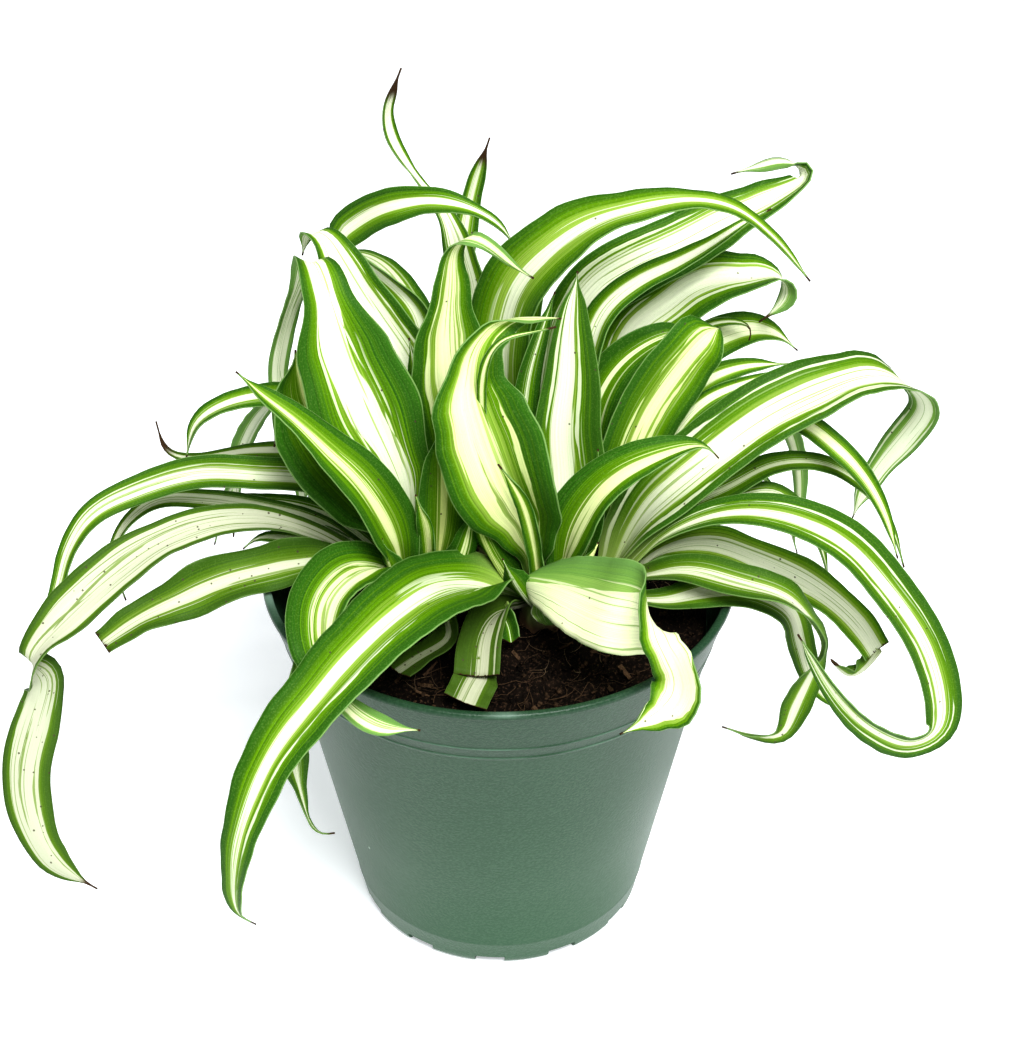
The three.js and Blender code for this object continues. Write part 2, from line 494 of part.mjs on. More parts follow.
function potBody() {
  const lipInner = RIM_RADIUS - LIP_WIDTH;
  const collarTop = POT_HEIGHT - LIP_DEPTH;
  const collarFoot = POT_HEIGHT - COLLAR_DEPTH;
  const outer = (height) => BASE_RADIUS
    + (COLLAR_FOOT_RADIUS - SHOULDER_STEP - BASE_RADIUS) * (height / collarFoot);
  const collarRadius = (height) => COLLAR_FOOT_RADIUS
    + (RIM_RADIUS - 1 - COLLAR_FOOT_RADIUS) * ((height - collarFoot) / (collarTop - collarFoot));
  const ring = (height) => [
    [collarRadius(height - 0.5), height - 0.5],
    [collarRadius(height) + RING_RELIEF, height],
    [collarRadius(height + 0.5), height + 0.5],
  ];
  const profile = [
    [0, 0],
    [BASE_RADIUS - BASE_ROUND, 0],
    [BASE_RADIUS - BASE_ROUND * 0.3, BASE_ROUND * 0.3],
    [outer(BASE_ROUND), BASE_ROUND],
    [outer(collarFoot - 0.6), collarFoot - 0.6],
    ...ring(collarFoot),
    ...ring(collarFoot + COLLAR_RING_GAP),
    [RIM_RADIUS - 1, collarTop],
    [RIM_RADIUS, collarTop + 0.8],
    [RIM_RADIUS, POT_HEIGHT - 0.9],
    [RIM_RADIUS - 0.7, POT_HEIGHT],
    [lipInner + 0.5, POT_HEIGHT],
    [lipInner, POT_HEIGHT - 0.6],
    [COLLAR_FOOT_RADIUS - WALL, collarFoot],
    [outer(collarFoot - 1) - WALL, collarFoot - 1],
    [outer(FLOOR + 1.5) - WALL, FLOOR + 1.5],
    [outer(FLOOR) - WALL - 1.5, FLOOR],
    [0, FLOOR],
  ];
  let body = toManifold(turned(profile, POT_SIDES));
  for (let slot = 0; slot < SLOTS; slot += 1) {
    const cutter = new THREE.BoxGeometry(SLOT_WIDTH, 2 * SLOT_REACH, 2 * SLOT_HEIGHT);
    cutter.translate(0, -BASE_RADIUS, 0);
    cutter.rotateZ(SLOT_TURN + (slot * 2 * Math.PI) / SLOTS);
    body = body.subtract(toManifold(cutter));
  }
  return body;
}

// Height of the soil: low mounds and a slight dish toward the front
function soilHeight(x, y) {
  return SOIL_TOP
    + 0.9 * Math.sin(x * 0.19 + 1.2) * Math.cos(y * 0.23)
    + 0.6 * Math.sin(x * 0.41 - y * 0.33)
    + 0.4 * Math.cos(y * 0.61 + x * 0.12);
}

function soilBody() {
  const collarFoot = POT_HEIGHT - COLLAR_DEPTH;
  const inner = (height) => BASE_RADIUS - WALL - GAP
    + (COLLAR_FOOT_RADIUS - SHOULDER_STEP - BASE_RADIUS) * (height / collarFoot);
  const foot = FLOOR + GAP;
  const brim = SOIL_TOP - 3;
  const brimRadius = COLLAR_FOOT_RADIUS - WALL - GAP;
  const sides = [
    [inner(foot) - 1.5, foot],
    [inner(foot + 1.5), foot + 1.5],
    [inner(collarFoot - 1.5), collarFoot - 1.5],
    [brimRadius, brim],
  ];
  const positions = [0, 0, foot];
  const index = [];
  const ringOf = (radius, heightAt) => {
    for (let side = 0; side < SOIL_SIDES; side += 1) {
      const angle = (side * 2 * Math.PI) / SOIL_SIDES;
      const x = radius * Math.cos(angle);
      const y = radius * Math.sin(angle);
      positions.push(x, y, heightAt(x, y));
    }
  };
  sides.forEach(([radius, height]) => ringOf(radius, () => height));
  for (let ring = 0; ring < SOIL_RINGS; ring += 1) {
    ringOf((brimRadius - 0.4) * (1 - ring / SOIL_RINGS), soilHeight);
  }
  positions.push(0, 0, soilHeight(0, 0));
  const ringCount = sides.length + SOIL_RINGS;
  const at = (ring, side) => 1 + ring * SOIL_SIDES + (side % SOIL_SIDES);
  for (let side = 0; side < SOIL_SIDES; side += 1) {
    index.push(0, at(0, side + 1), at(0, side));
    for (let ring = 0; ring < ringCount - 1; ring += 1) {
      index.push(at(ring, side), at(ring, side + 1), at(ring + 1, side + 1));
      index.push(at(ring, side), at(ring + 1, side + 1), at(ring + 1, side));
    }
    index.push(at(ringCount - 1, side), at(ringCount - 1, side + 1), 1 + ringCount * SOIL_SIDES);
  }
  let body = solidFrom(positions, index);
  for (const centre of Object.values(CROWNS)) {
    const hole = new THREE.CylinderGeometry(CROWN_RADIUS + GAP, CROWN_RADIUS + GAP, 40, CROWN_SIDES);
    hole.rotateX(Math.PI / 2);
    hole.translate(centre[0], centre[1], CROWN_FOOT - GAP + 20);
    body = body.subtract(toManifold(hole));
  }
  return body;
}

function crownStub(centre, grow = 0) {
  const radius = CROWN_RADIUS + grow;
  const profile = [
    [0, CROWN_FOOT - grow],
    [radius, CROWN_FOOT - grow],
    [radius, CROWN_TOP - 8],
    [radius * 0.9, CROWN_TOP - 4],
    [radius * 0.55, CROWN_TOP - 1 + grow],
    [0, CROWN_TOP + grow],
  ];
  const geometry = turned(profile, CROWN_SIDES);
  geometry.translate(centre[0], centre[1], 0);
  return toManifold(geometry);
}

function crownBody(key, grow = 0) {
  return CROWN_LEAVES[key].reduce((body, leaf) => body.add(blade(leaf, grow)), crownStub(CROWNS[key], grow));
}

function largestPiece(body) {
  return body.decompose().reduce((best, piece) => (piece.volume() > best.volume() ? piece : best));
}

function boxesMeet(first, second) {
  const a = first.boundingBox();
  const b = second.boundingBox();
  return [0, 1, 2].every((axis) => a.min[axis] <= b.max[axis] && b.min[axis] <= a.max[axis]);
}

// Where leaf bases clasp each other at a crown, a later leaf keeps clear of the earlier ones
function clearedLeaves() {
  const taken = Object.keys(CROWNS).map((key) => crownBody(key, GAP));
  const bodies = {};
  for (const [name, leaf] of Object.entries(LEAVES)) {
    let body = blade(leaf);
    for (const other of taken) {
      if (boxesMeet(body, other)) body = body.subtract(other);
    }
    bodies[name] = largestPiece(body);
    taken.push(blade(leaf, GAP));
  }
  return bodies;
}

const plant = new THREE.Group();
plant.name = 'potted_spider_plant';

function place(name, body, material) {
  const mesh = new THREE.Mesh(toGeometry(body), material);
  mesh.name = name;
  plant.add(mesh);
}

place('pot', potBody(), POT_MATERIAL);
place('soil', soilBody(), SOIL_MATERIAL);
for (const key of Object.keys(CROWNS)) place(`crown_${key}`, crownBody(key), CROWN_MATERIAL);
for (const [name, body] of Object.entries(clearedLeaves())) place(name, body, LEAF_MATERIAL);

export default plant;
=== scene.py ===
"""Variegated spider plant in a round green nursery pot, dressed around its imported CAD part.

Metres, +Z up, the pot's axis on Z and its base on the floor. Leaf tables are in millimetres.
"""

import math
import random

import bmesh
import bpy
from bpy.props import FloatProperty, FloatVectorProperty, IntProperty, PointerProperty
from mathutils import Matrix, Vector, noise


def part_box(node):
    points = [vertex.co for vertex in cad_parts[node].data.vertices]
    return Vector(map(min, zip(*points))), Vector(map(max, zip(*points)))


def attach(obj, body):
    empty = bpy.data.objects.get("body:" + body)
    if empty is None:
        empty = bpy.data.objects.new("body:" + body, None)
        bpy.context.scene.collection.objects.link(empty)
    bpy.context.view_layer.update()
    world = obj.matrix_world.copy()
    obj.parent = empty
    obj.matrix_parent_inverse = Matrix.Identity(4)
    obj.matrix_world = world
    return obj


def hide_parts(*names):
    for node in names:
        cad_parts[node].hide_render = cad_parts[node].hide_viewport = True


bl_info = {
    "name": "Potted spider plant",
    "version": (1, 0, 0),
    "blender": (4, 5, 0),
    "location": "3D View > Sidebar > Plant",
    "description": "Builds a variegated spider plant in its nursery pot, piece by piece",
    "category": "Add Mesh",
}

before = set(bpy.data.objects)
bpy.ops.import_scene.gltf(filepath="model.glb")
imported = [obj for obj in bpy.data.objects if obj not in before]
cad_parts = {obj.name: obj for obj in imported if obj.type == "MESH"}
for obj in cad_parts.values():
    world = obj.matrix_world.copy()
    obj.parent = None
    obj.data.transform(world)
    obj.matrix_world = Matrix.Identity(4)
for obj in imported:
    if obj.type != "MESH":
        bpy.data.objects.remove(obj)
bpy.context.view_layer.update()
POT_LOW, POT_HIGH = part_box("pot")

MM = 0.001

# What a leaf's entry may leave out, and the share of a whole or a cut leaf that is dry
PLAIN_LEAF = {"roll": (0, 0), "fold": (45, 24, 16, 16), "wave": (0.5, 2.5, 0), "foot": 30,
              "base": 0.4, "taper": 3, "lines": (2, 2), "cream": 0.1, "tone_and_shade": 0, "dirt_and_shade": 0.1,
              "cut": False, "flip": False}
DRY_TIP, DRY_CUT = 0.015, 0.004
# Seeds of the first leaf in the later tables
CROWN_SEED, SLIGHT_SEED = 100, 200

# Spline steps for each point of a leaf's path, its least number of rows, and smoothing passes
STEPS_PER_KNOT, LEAST_ROWS = 24, 12
PATH_PASSES, ROLL_PASSES = 3, 8
# In millimetres: where a tip narrows, the least half width, the finest wave of the edges, and
# what counts as one in the attribute grain
TIP_LENGTH, LEAST_HALF, FINE_WAVE, GRAIN_UNIT = 8, 0.2, 0.12, 10
# How blunt a tip is, and how soft the valley along the midrib, with its root
TIP_SHARE, VALLEY_SOFT, VALLEY_ROOT = 0.12, 0.02, 0.1414
# How far a sheath folds, in degrees, and how far one edge's wave lags, in radians
SHEATH_FOLD, EDGE_LAG = 62, 1.9
# In metres: between the pot's two fine rings, and between corners that become one
RING_GAP, SAME_PLACE = 3.4 * MM, 1e-6

# What the leaf material reads: point attributes of a blade, and colours of the settings
LAYERS = ("blade", "grain", "band", "lines", "age")
LEAF_COLOURS = ("deep", "middle", "bright", "cream", "white", "dry")
# Noise drawn out along a blade: scale across, scale along, detail
STREAKS = {"ragged": (9.0, 0.5, 2.0), "threads": (22.0, 0.1, 1.5), "wedges": (15.0, 0.22, 0.0),
           "veins": (46.0, 0.05, 0.5), "mottle": (3.0, 0.4, 3.0)}
# The least room beside the band of a blade that is 2 wide, and the least dry share of a leaf
LEAST_ROOM, LEAST_DRY = 0.08, 0.001

# Tints laid over the colours of the settings
CELL_GREEN, EDGE_GREEN, FOOT_GREEN = (0.3, 0.5, 0.12), (0.36, 0.55, 0.2), (0.45, 0.6, 0.16)
UNDER_GREEN, UNDER_PALE = (0.22, 0.4, 0.12), (0.5, 0.56, 0.4)
# Laid by the dirt value: grime on older blades, and painted shade on the stubs
DIRT_AND_SHADE_GREEN, DIRT_AND_SHADE_PALE = (0.05, 0.085, 0.012), (0.27, 0.28, 0.18)
SPECK_BROWN, SOIL_GRAIN, COIR_PALE = (0.06, 0.05, 0.03), (0.07, 0.04, 0.024), (0.22, 0.16, 0.1)
PATCH_GREEN, SPECKLE_GREEN, DUST = (0.035, 0.085, 0.045), (0.06, 0.12, 0.07), (0.45, 0.55, 0.45)
RING_SCUFF, LIP_SCUFF = (0.2, 0.33, 0.24), (0.32, 0.47, 0.38)
STEM_GREEN, STEM_CREAM, STEM_FOOT = (0.2, 0.3, 0.07), (0.4, 0.48, 0.16), (0.09, 0.05, 0.025)
FLOOR_PATCH, FLOOR_GLOW, SKY = (0.86, 0.9, 0.95), (0.94, 0.97, 1.0), (0.97, 0.985, 1.0)

# Leaves that stand for a solid of their own. bearing is the way the tip points, in degrees from +X.
# roll and fold are degrees at even steps from root to tip; wave is height, count and phase.
# shape, or taper and base, gives the width; the foot's sheath is foot millimetres long. cut ends a
# leaf bluntly, flip turns its faces over. band is the pale stripe's two edges across the blade,
# from -1 to 1, at even steps from root to tip; lines are places of thin lines in the other colour;
# cream is how yellow the stripe is, tone how dark (-) or light (+) the green, dirt and dry its age.
# The low tone of the stubs and the sheaths, and the high dirt of the stubs, are painted shade.
LEAVES = {
    "front_curl": dict(
        group="front", bearing=90, width=28, roll=(0, -8, -14, -10, 20, 30),
        fold=(50, 30, 16, 30, 40), wave=(1.4, 2.6, 0.4),
        shape=(0.2, 0.35, 0.65, 0.9, 1, 1, 0.85, 0.5, 0.3, 0.16, 0.06),
        band=((-0.5, 0.3), (-0.6, 0.1), (-0.6, 0.0), (-0.5, 0.2)), lines=(0.42, -0.32), cream=0.75,
        points=((9, -5, 97), (7, -9, 116), (2, -13, 132), (-2, -12, 144), (-5, -9, 154),
                (-4, -5, 162), (1, -2, 167), (7, -4, 169), (14, -8, 171))),
    "front_point": dict(
        group="front", bearing=20, width=16, roll=(40, 30, 20, 10), taper=2.2, band=((0.0, 0.55),),
        cream=0.7, tone_and_shade=-0.2, dry=0.03,
        points=((14, -8, 96), (18, -13, 120), (25, -15, 133), (34, -15, 139), (47, -13, 141),
                (50, -14, 138))),
    "front_short": dict(
        group="front", bearing=135, width=22,
        roll=(0, 30, 44, 48, 48, 48, 48, 50, 54, 60, 70, 76, 95, 160, 240, 262, 270, 268, 262, 262,
              262),
        fold=(40, 12, 6, 4, 4, 4, 4, 4, 10, 14, 10), wave=(0.8, 2, 1.0),
        shape=(0.25, 0.32, 0.4, 0.48, 0.56, 0.66, 0.77, 0.87, 0.94, 0.98, 1, 0.95, 0.78, 0.42, 0.38,
               0.56, 0.69, 0.58, 0.32, 0.17, 0.05),
        band=((-0.95, -0.6), (-1.2, -0.2), (-1.2, 0.0), (-1.2, 0.15), (-1.2, 0.25), (-1.2, 0.32),
              (-1.2, 0.45), (-1.2, 0.5), (-0.8, 0.5), (-0.5, 0.55), (-0.5, 0.5)),
        lines=((2, 2), (2, 2), (2, 2), (0.72, 2)), cream=0.45, tone_and_shade=0.3,
        points=((9, -12, 97), (4.8, -16, 105.3), (8.7, -20.5, 108), (14.1, -26, 110.3),
                (19.7, -32, 112.2), (25.3, -39, 114.9), (32.2, -43, 116.5), (33.8, -46.5, 117.5),
                (34.6, -51.5, 117.2), (36.1, -54.5, 115.1), (38.4, -57.5, 112.4),
                (39.8, -60, 109.4), (38.7, -61.5, 105.6), (33.7, -62.5, 101.9), (26.8, -63, 97.7))),
    "front_arch": dict(
        group="front", bearing=225, width=18, roll=(0, 0, -5, -10, -10), fold=(40, 14, 10, 10, 20),
        wave=(0.6, 2, 0), shape=(0.6, 1.2, 1.32, 1.22, 1.06, 0.88, 0.68, 0.5, 0.34, 0.06),
        band=((-0.05, 0.25), (-0.12, 0.2), (-0.2, 0.15)), lines=(-0.44, 2), cream=0.05,
        points=((6, -9, 94), (-7, -20, 106), (-17, -38, 116), (-28, -54, 116.5), (-38.3, -66, 111),
                (-47.5, -74, 102.5), (-53.5, -79, 91), (-57.5, -80, 76), (-58.3, -76, 56),
                (-55, -74, 51))),
    "heart_dark": dict(
        group="front", bearing=90, width=6.5, band=((-0.1, 0.12),), tone_and_shade=-0.6,
        points=((16, -7, 95), (22, -6, 115), (23, -4, 134))),
    "left_point": dict(
        group="left", bearing=160, width=16, roll=(-50, -30, -20, -10), taper=2,
        band=((-0.28, 0.06),), cream=0.7,
        points=((-22, -7, 97), (-25, -13, 118), (-31, -16, 133), (-38, -18, 143), (-45, -18, 151),
                (-53, -16, 157), (-58, -14, 161))),
    "left_dark": dict(
        group="left", bearing=130, width=25, roll=(-20, -10, 0), wave=(1, 2, 0),
        shape=(0.2, 0.6, 1, 1, 0.9, 0.6, 0.06), band=((0.1, 0.3), (0.1, 0.25)), cream=0.9,
        tone_and_shade=-0.1,
        points=((-20, 2, 98), (-34, 9, 114), (-43, 13, 125), (-48, 16, 137), (-48, 19, 147))),
    "left_broad": dict(
        group="left", bearing=110, width=28, roll=(-20, -20, -10, 0, 0, 20),
        fold=(50, 24, 16, 20, 10, 10), wave=(1.3, 3.2, 0.5),
        shape=(0.16, 0.35, 0.75, 1, 0.82, 0.42, 0.26, 0.2, 0.18, 0.16, 0.06),
        band=((0.1, 0.5), (0, 0.5), (-0.16, 0.42), (-0.32, 0.24), (-0.42, 0.14), (-0.5, 0.35),
              (-0.6, 0.6), (-0.6, 0.6), (-0.6, 0.6), (-0.6, 0.6), (-0.6, 0.6)),
        lines=((0.3, 2), (0.3, 2), (0.3, 2), (0.14, 2), (0.05, 2), (0.1, 2), (2, 2)), cream=0.15,
        tone_and_shade=-0.3,
        points=((-18, 0, 97), (-24, 0, 124), (-31, 3, 141), (-36, 7, 154), (-39, 10, 166),
                (-42, 16, 172), (-46, 26, 161), (-51, 31, 147), (-54, 32, 133), (-54, 31, 123),
                (-56, 31, 112))),
    "heart_broad": dict(
        group="left", bearing=90, width=14, fold=(40, 20, 20), taper=4, band=((-0.1, 0.2),),
        cream=1.0, tone_and_shade=-0.1,
        points=((-15, -4, 97), (-13, -5, 119), (-13, -4, 130), (-14, -2, 139))),
    "front_left_curl": dict(
        group="left", bearing=215, width=18, roll=(0, -5, -10, 0, 30, 40), wave=(0.8, 2, 0),
        taper=2.4, base=0.3, band=((-0.6, 0.05), (-0.75, 0.0)), lines=(0.2, -0.15), cream=0.5,
        tone_and_shade=-0.2,
        points=((-19, -8, 98), (-28, -14, 107), (-35, -24, 113), (-40, -36, 113), (-39, -50, 110),
                (-34, -58, 104), (-26, -61, 99), (-17, -62, 98))),
    "left_cut": dict(
        group="left", bearing=190, width=10.5, roll=(-10, -30, -40, -40), wave=(2, 3.4, 0),
        cut=True, shape=(0.5, 0.6, 0.8, 1.05, 1.2, 1.25, 1.2, 1.0, 0.8, 0.6), band=((-0.3, 0.2),),
        tone_and_shade=-0.1, dirt_and_shade=0.9,
        points=((-21, -5, 95), (-33, -4, 102), (-47, -6, 103), (-57, -8, 102), (-66, -11, 101),
                (-75, -15, 99), (-85, -19, 96), (-93, -23, 92))),
    "left_long": dict(
        group="left", bearing=180, width=13,
        roll=(-20, -25, -30, -35, -35, -40, -45, -35, 60, 80, 80, 80, 80), wave=(0.6, 5, 0),
        shape=(0.4, 0.45, 0.5, 0.62, 0.8, 1, 1, 0.7, 0.85, 0.95, 0.9, 0.7, 0.06),
        band=((-0.72, 0.62), (-0.8, 0.72), (-0.75, 0.5), (-0.6, 0.5)),
        lines=((-0.3, 0.33), (-0.3, 0.33), (0.3, -0.25), (0.3, -0.25)), tone_and_shade=-0.4, dirt_and_shade=1.0,
        dry=0.03,
        points=((-24, -1, 91), (-38, 3, 101), (-53, 5, 107), (-67, 4, 108), (-81, 0, 105),
                (-92, -8, 101), (-104, -18, 94), (-109.5, -27, 90), (-107.5, -22, 80),
                (-110.5, -24, 69.5), (-114, -28, 57.5), (-113.5, -33, 47.5), (-108.5, -38, 37),
                (-97.5, -42, 31.5))),
    "left_high_arch": dict(
        group="left", bearing=180, width=10.5, roll=(0, -30, -40, -60, -70), taper=2.2,
        band=((-0.4, 0.35),), lines=(0.5, -0.05), dirt_and_shade=0.35,
        points=((-22, 2, 93), (-34, 13, 106), (-46, 16, 112), (-58, 18, 112), (-73, 16, 114),
                (-87, 12, 112), (-98, 6, 109), (-104, 2, 101), (-107, -2, 92), (-114, -6, 78))),
    "left_hoop": dict(
        group="left", bearing=150, width=7, roll=(0, -30, -40, -60), taper=6, band=((-0.3, 0.3),),
        points=((-20, 2, 97), (-36, 18, 122), (-50, 22, 132), (-59, 24, 131), (-68, 24, 128),
                (-74, 24, 123), (-77, 24, 113))),
    "left_dry_tip": dict(
        group="left", bearing=160, width=7, roll=(0, -30, -40, -60), taper=1.6, band=((-0.4, 0.4),),
        tone_and_shade=-0.3, dirt_and_shade=0.7, dry=0.14,
        points=((-19, 3, 98), (-37, 24, 112), (-60, 34, 109), (-78, 38, 104), (-84, 38, 106),
                (-86, 38, 115))),
    "left_shade_long": dict(
        group="left", bearing=170, width=6, roll=(0, -30, -50, -70), band=((-0.5, 0.5),), tone_and_shade=-0.2,
        dirt_and_shade=0.6,
        points=((-23, 1, 91), (-42, 13, 100), (-59, 20, 101), (-74, 24, 101), (-85, 22, 102),
                (-93, 18, 97), (-96, 14, 90), (-93, 10, 80))),
    "left_hanging": dict(
        group="left", bearing=235, width=7.5, roll=(0, -30, -60, -80, -100), taper=1.5,
        shape=(0.5, 0.6, 0.7, 0.8, 0.7, 0.6, 0.8, 1, 0.4, 0.14, 0.05), band=((-0.2, 0.3),),
        tone_and_shade=-0.3, dirt_and_shade=0.5, dry=0.02,
        points=((-21, -7, 95), (-34, -22, 102), (-43, -38, 103), (-47, -47, 94), (-46.7, -50, 79.2),
                (-45.6, -50, 69), (-43.9, -49, 58.5), (-41.3, -48.5, 54.6), (-38.5, -48, 55.1))),
    "upright_white": dict(
        group="upright", bearing=100, width=17, roll=(-10, -10, -10, -10, 0), wave=(0.8, 2, 0),
        shape=(0.3, 0.6, 0.9, 1, 1, 0.9, 0.7, 0.4, 0.1), band=((-0.62, 0.5),), lines=(0.65, 2),
        points=((-6, 16, 93), (-17, 18, 126), (-23, 21, 143), (-30, 24, 154), (-36, 27, 164),
                (-41, 31, 171), (-45, 35, 169), (-47, 38, 162))),
    "back_loop": dict(
        group="upright", bearing=0, width=8.6, roll=(90, 90, 90, 80, 60, 50, 50, 40, 30),
        shape=(0.3, 0.6, 0.9, 1, 1, 1, 1.05, 1.15, 1.05, 0.75, 0.35, 0.06), band=((-0.3, 0.25),),
        points=((-5, 20, 97), (-17, 29, 127), (-20, 33, 150), (-38, 41, 165), (-35, 40, 168.5),
                (-29, 36, 174.5), (-23, 32, 178.5), (-16.5, 29, 181), (-11, 27, 181.5),
                (-5, 26, 180), (0.5, 27, 175.5), (4, 29, 168.5))),
    "centre_striped": dict(
        group="upright", bearing=90, width=22, roll=(0, 0, 10, 30, 30), wave=(0.8, 2, 0),
        shape=(0.2, 0.5, 0.9, 1, 1, 0.8, 0.45, 0.25, 0.15, 0.06),
        band=((-0.3, 0.15), (-0.35, 0.3), (-0.2, 0.35)), lines=(0.4, -0.55), cream=0.6, tone_and_shade=0.1,
        points=((-2, 14, 96), (-9, 11, 130), (-12, 10, 153), (-11, 10, 169), (-10, 10, 179),
                (-6, 8, 183), (-1, 6, 181), (3, 4, 178), (8, 3, 175))),
    "tall_curl": dict(
        group="upright", bearing=100, width=14, roll=(0, 0, -10, -30, -20, 30, 20, 10),
        shape=(0.3, 0.6, 0.9, 1, 1, 0.85, 0.6, 0.32, 0.24, 0.28, 0.2, 0.05), band=((-0.6, 0.55),),
        tone_and_shade=-0.1, dirt_and_shade=0.3, dry=0.1,
        points=((-2, 23, 97), (-6, 31, 126), (-7, 38, 150), (-9, 42, 159), (-13, 48, 168),
                (-19, 54, 173), (-22.5, 58, 176), (-26, 60, 182), (-27, 60, 189), (-25, 58, 196),
                (-23, 56, 202))),
    "tall_narrow": dict(
        group="upright", bearing=90, width=6.5, shape=(0.4, 0.45, 0.5, 0.55, 0.8, 1, 0.7, 0.1),
        band=((-0.45, 0.2),), dry=0.1,
        points=((0, 24, 98), (-4, 39, 124), (-9, 51, 151), (-8, 54, 162), (-5.7, 55, 173),
                (-2.2, 53, 185.5))),
    "top_arch": dict(
        group="upright", bearing=0, width=18, roll=(90, 75, 60, 45, 28, 20, 30), wave=(0.6, 2, 0),
        shape=(0.3, 0.75, 1, 1, 1, 0.85, 0.55, 0.3, 0.18, 0.06),
        band=((-0.1, 0.25), (-0.18, 0.2), (-0.2, 0.22)), tone_and_shade=0.4,
        points=((5, 17, 95), (1, 20, 133), (1, 20, 149), (4, 19, 163), (11, 16, 174), (21, 14, 183),
                (32, 12, 188), (43, 12, 190), (53, 14, 187), (63, 16, 178), (72, 18, 166))),
    "centre_tall": dict(
        group="upright", bearing=90, width=20.5, fold=(40, 22, 16, 16), wave=(0.6, 2, 0), taper=2.2,
        base=0.2, band=((-0.5, 0.1),), lines=(-0.65, 0.3), tone_and_shade=-0.3, dirt_and_shade=0.4,
        points=((14, -4, 96), (17, 3, 119), (16, 5, 134), (17, 7, 146), (17, 9, 161),
                (18, 10, 173))),
    "centre_dark": dict(
        group="upright", bearing=90, width=8, band=((-0.1, 0.1),), tone_and_shade=-0.5,
        points=((10, -4, 98), (6, 5, 124), (7, 10, 144), (10, 12, 156), (13, 13, 166))),
    "right_broad": dict(
        group="right", bearing=80, width=17.5, roll=(30, 20, 20, 10), wave=(0.6, 2, 0),
        shape=(0.25, 0.55, 0.85, 1, 1, 1, 0.85, 0.4), band=((-0.05, 0.3),), lines=(0.42, -0.3),
        cream=0.7, tone_and_shade=0.1,
        points=((26, 7, 94), (29, 12, 115), (34, 14, 131), (40, 15, 142), (46, 16, 150),
                (50, 18, 153), (52, 22, 151))),
    "right_dark": dict(
        group="right", bearing=60, width=15, roll=(20, 24, 30), band=((-0.15, 0.05),), cream=0.4,
        tone_and_shade=-0.6,
        points=((25, 8, 97), (22, 21, 115), (24, 23, 130), (29, 25, 139), (36, 27, 144),
                (43, 28, 146), (50, 28, 141))),
    "top_right_white": dict(
        group="right", bearing=30, width=17, roll=(40, 35, 40, 40, 40, 40, 40, 35, 25, 10, 0, 0, 0),
        shape=(0.3, 0.65, 0.95, 1, 1, 1, 1, 0.95, 0.9, 0.7, 0.45, 0.32, 0.06), band=((-0.5, 0.4),),
        lines=(0.6, -0.7),
        points=((6, 22, 93), (15, 31, 125), (19, 34, 146), (24.3, 37, 153.6), (33.8, 38, 159.6),
                (43.3, 40, 163.4), (52.8, 42, 168.2), (62.3, 44, 172.3), (69, 46, 175),
                (73.8, 48, 177.4), (72.2, 52, 178.8), (67.6, 54, 179.2), (61.8, 55, 176.8),
                (56.2, 56, 174.5))),
    "top_right_narrow": dict(
        group="right", bearing=20, width=11, roll=(50, 40, 30, 30), taper=2, band=((-0.35, 0.45),),
        points=((6, 18, 96), (18, 20, 130), (24.5, 22, 155.5), (33, 23, 163.5), (41.5, 24, 167.5),
                (49.5, 25, 172), (57.5, 26, 177.5), (63, 27, 180))),
    "right_curl": dict(
        group="right", bearing=30, width=16.5, roll=(40, 30, 30, 30, 30, 30, 25, 10, 0, 0),
        shape=(0.3, 0.45, 0.62, 0.8, 0.92, 1, 1, 1, 0.85, 0.45, 0.06), band=((-0.45, 0.3),),
        lines=(0.45, -0.6), dry=0.04,
        points=((27, 8, 96), (27, 27, 121), (33, 33, 143), (41.7, 35, 150), (46.4, 36, 153.9),
                (53.1, 37, 155.8), (59.2, 38, 155.8), (64.8, 39, 156), (68.9, 39, 154.7),
                (69.7, 39, 150.8), (67.4, 38, 147.2), (63.1, 37, 144.2))),
    "right_pale": dict(
        group="right", bearing=50, width=12, roll=(40, 40, 40), taper=6, band=((-0.4, 0.4),),
        cream=0.3,
        points=((30, 8, 97), (37, 28, 122), (49, 41, 134), (60, 44, 138), (68, 44, 137),
                (74, 44, 132))),
    "right_level": dict(
        group="right", bearing=30, width=9, roll=(40, 40, 40), band=((-0.3, 0.35),), cream=0.3,
        points=((30, 8, 95), (38, 19, 121), (48, 24, 134), (58, 26, 138), (70, 26, 139))),
    "right_arch": dict(
        group="right", bearing=0, width=21, roll=(50, 45, 40, 38, 20, -55, -75, -75),
        fold=(40, 20, 10, 10, 10),
        shape=(0.5, 0.78, 0.88, 0.85, 0.83, 0.8, 0.66, 0.42, 0.42, 0.42, 0.3, 0.06),
        band=((-0.2, 0.53), (-0.3, 0.55), (-0.4, 0.6)), lines=(-0.72, 0.75), dirt_and_shade=0.3,
        points=((27, 3, 94), (36, 2, 114), (47.5, 4, 125), (62, 8, 135.5), (76, 12, 141),
                (88, 16, 142.5), (97, 20, 137), (103, 24, 128), (100, 28, 117), (95, 30, 107),
                (91, 30, 98), (89, 29, 91))),
    "right_yellow": dict(
        group="right", bearing=0, width=8, roll=(40, 30, 30, 60, 80), band=((-0.35, 0.4),),
        cream=0.5,
        points=((31, 7, 95), (44, 12, 116), (57, 15, 126), (70, 17, 129), (82, 14, 122),
                (88, 9, 117), (93, 5, 109), (96, 0, 100))),
    "right_low_arch": dict(
        group="right", bearing=0, width=9, roll=(40, 40, 30, 30, 60), taper=1.4,
        band=((-0.15, 0.2),), dirt_and_shade=0.4,
        points=((32, 5, 95), (43, 9, 107), (56, 12, 113), (67, 17, 116), (80, 20, 114),
                (90, 18, 108), (96, 12, 101), (99, 6, 93))),
    "right_sweep": dict(
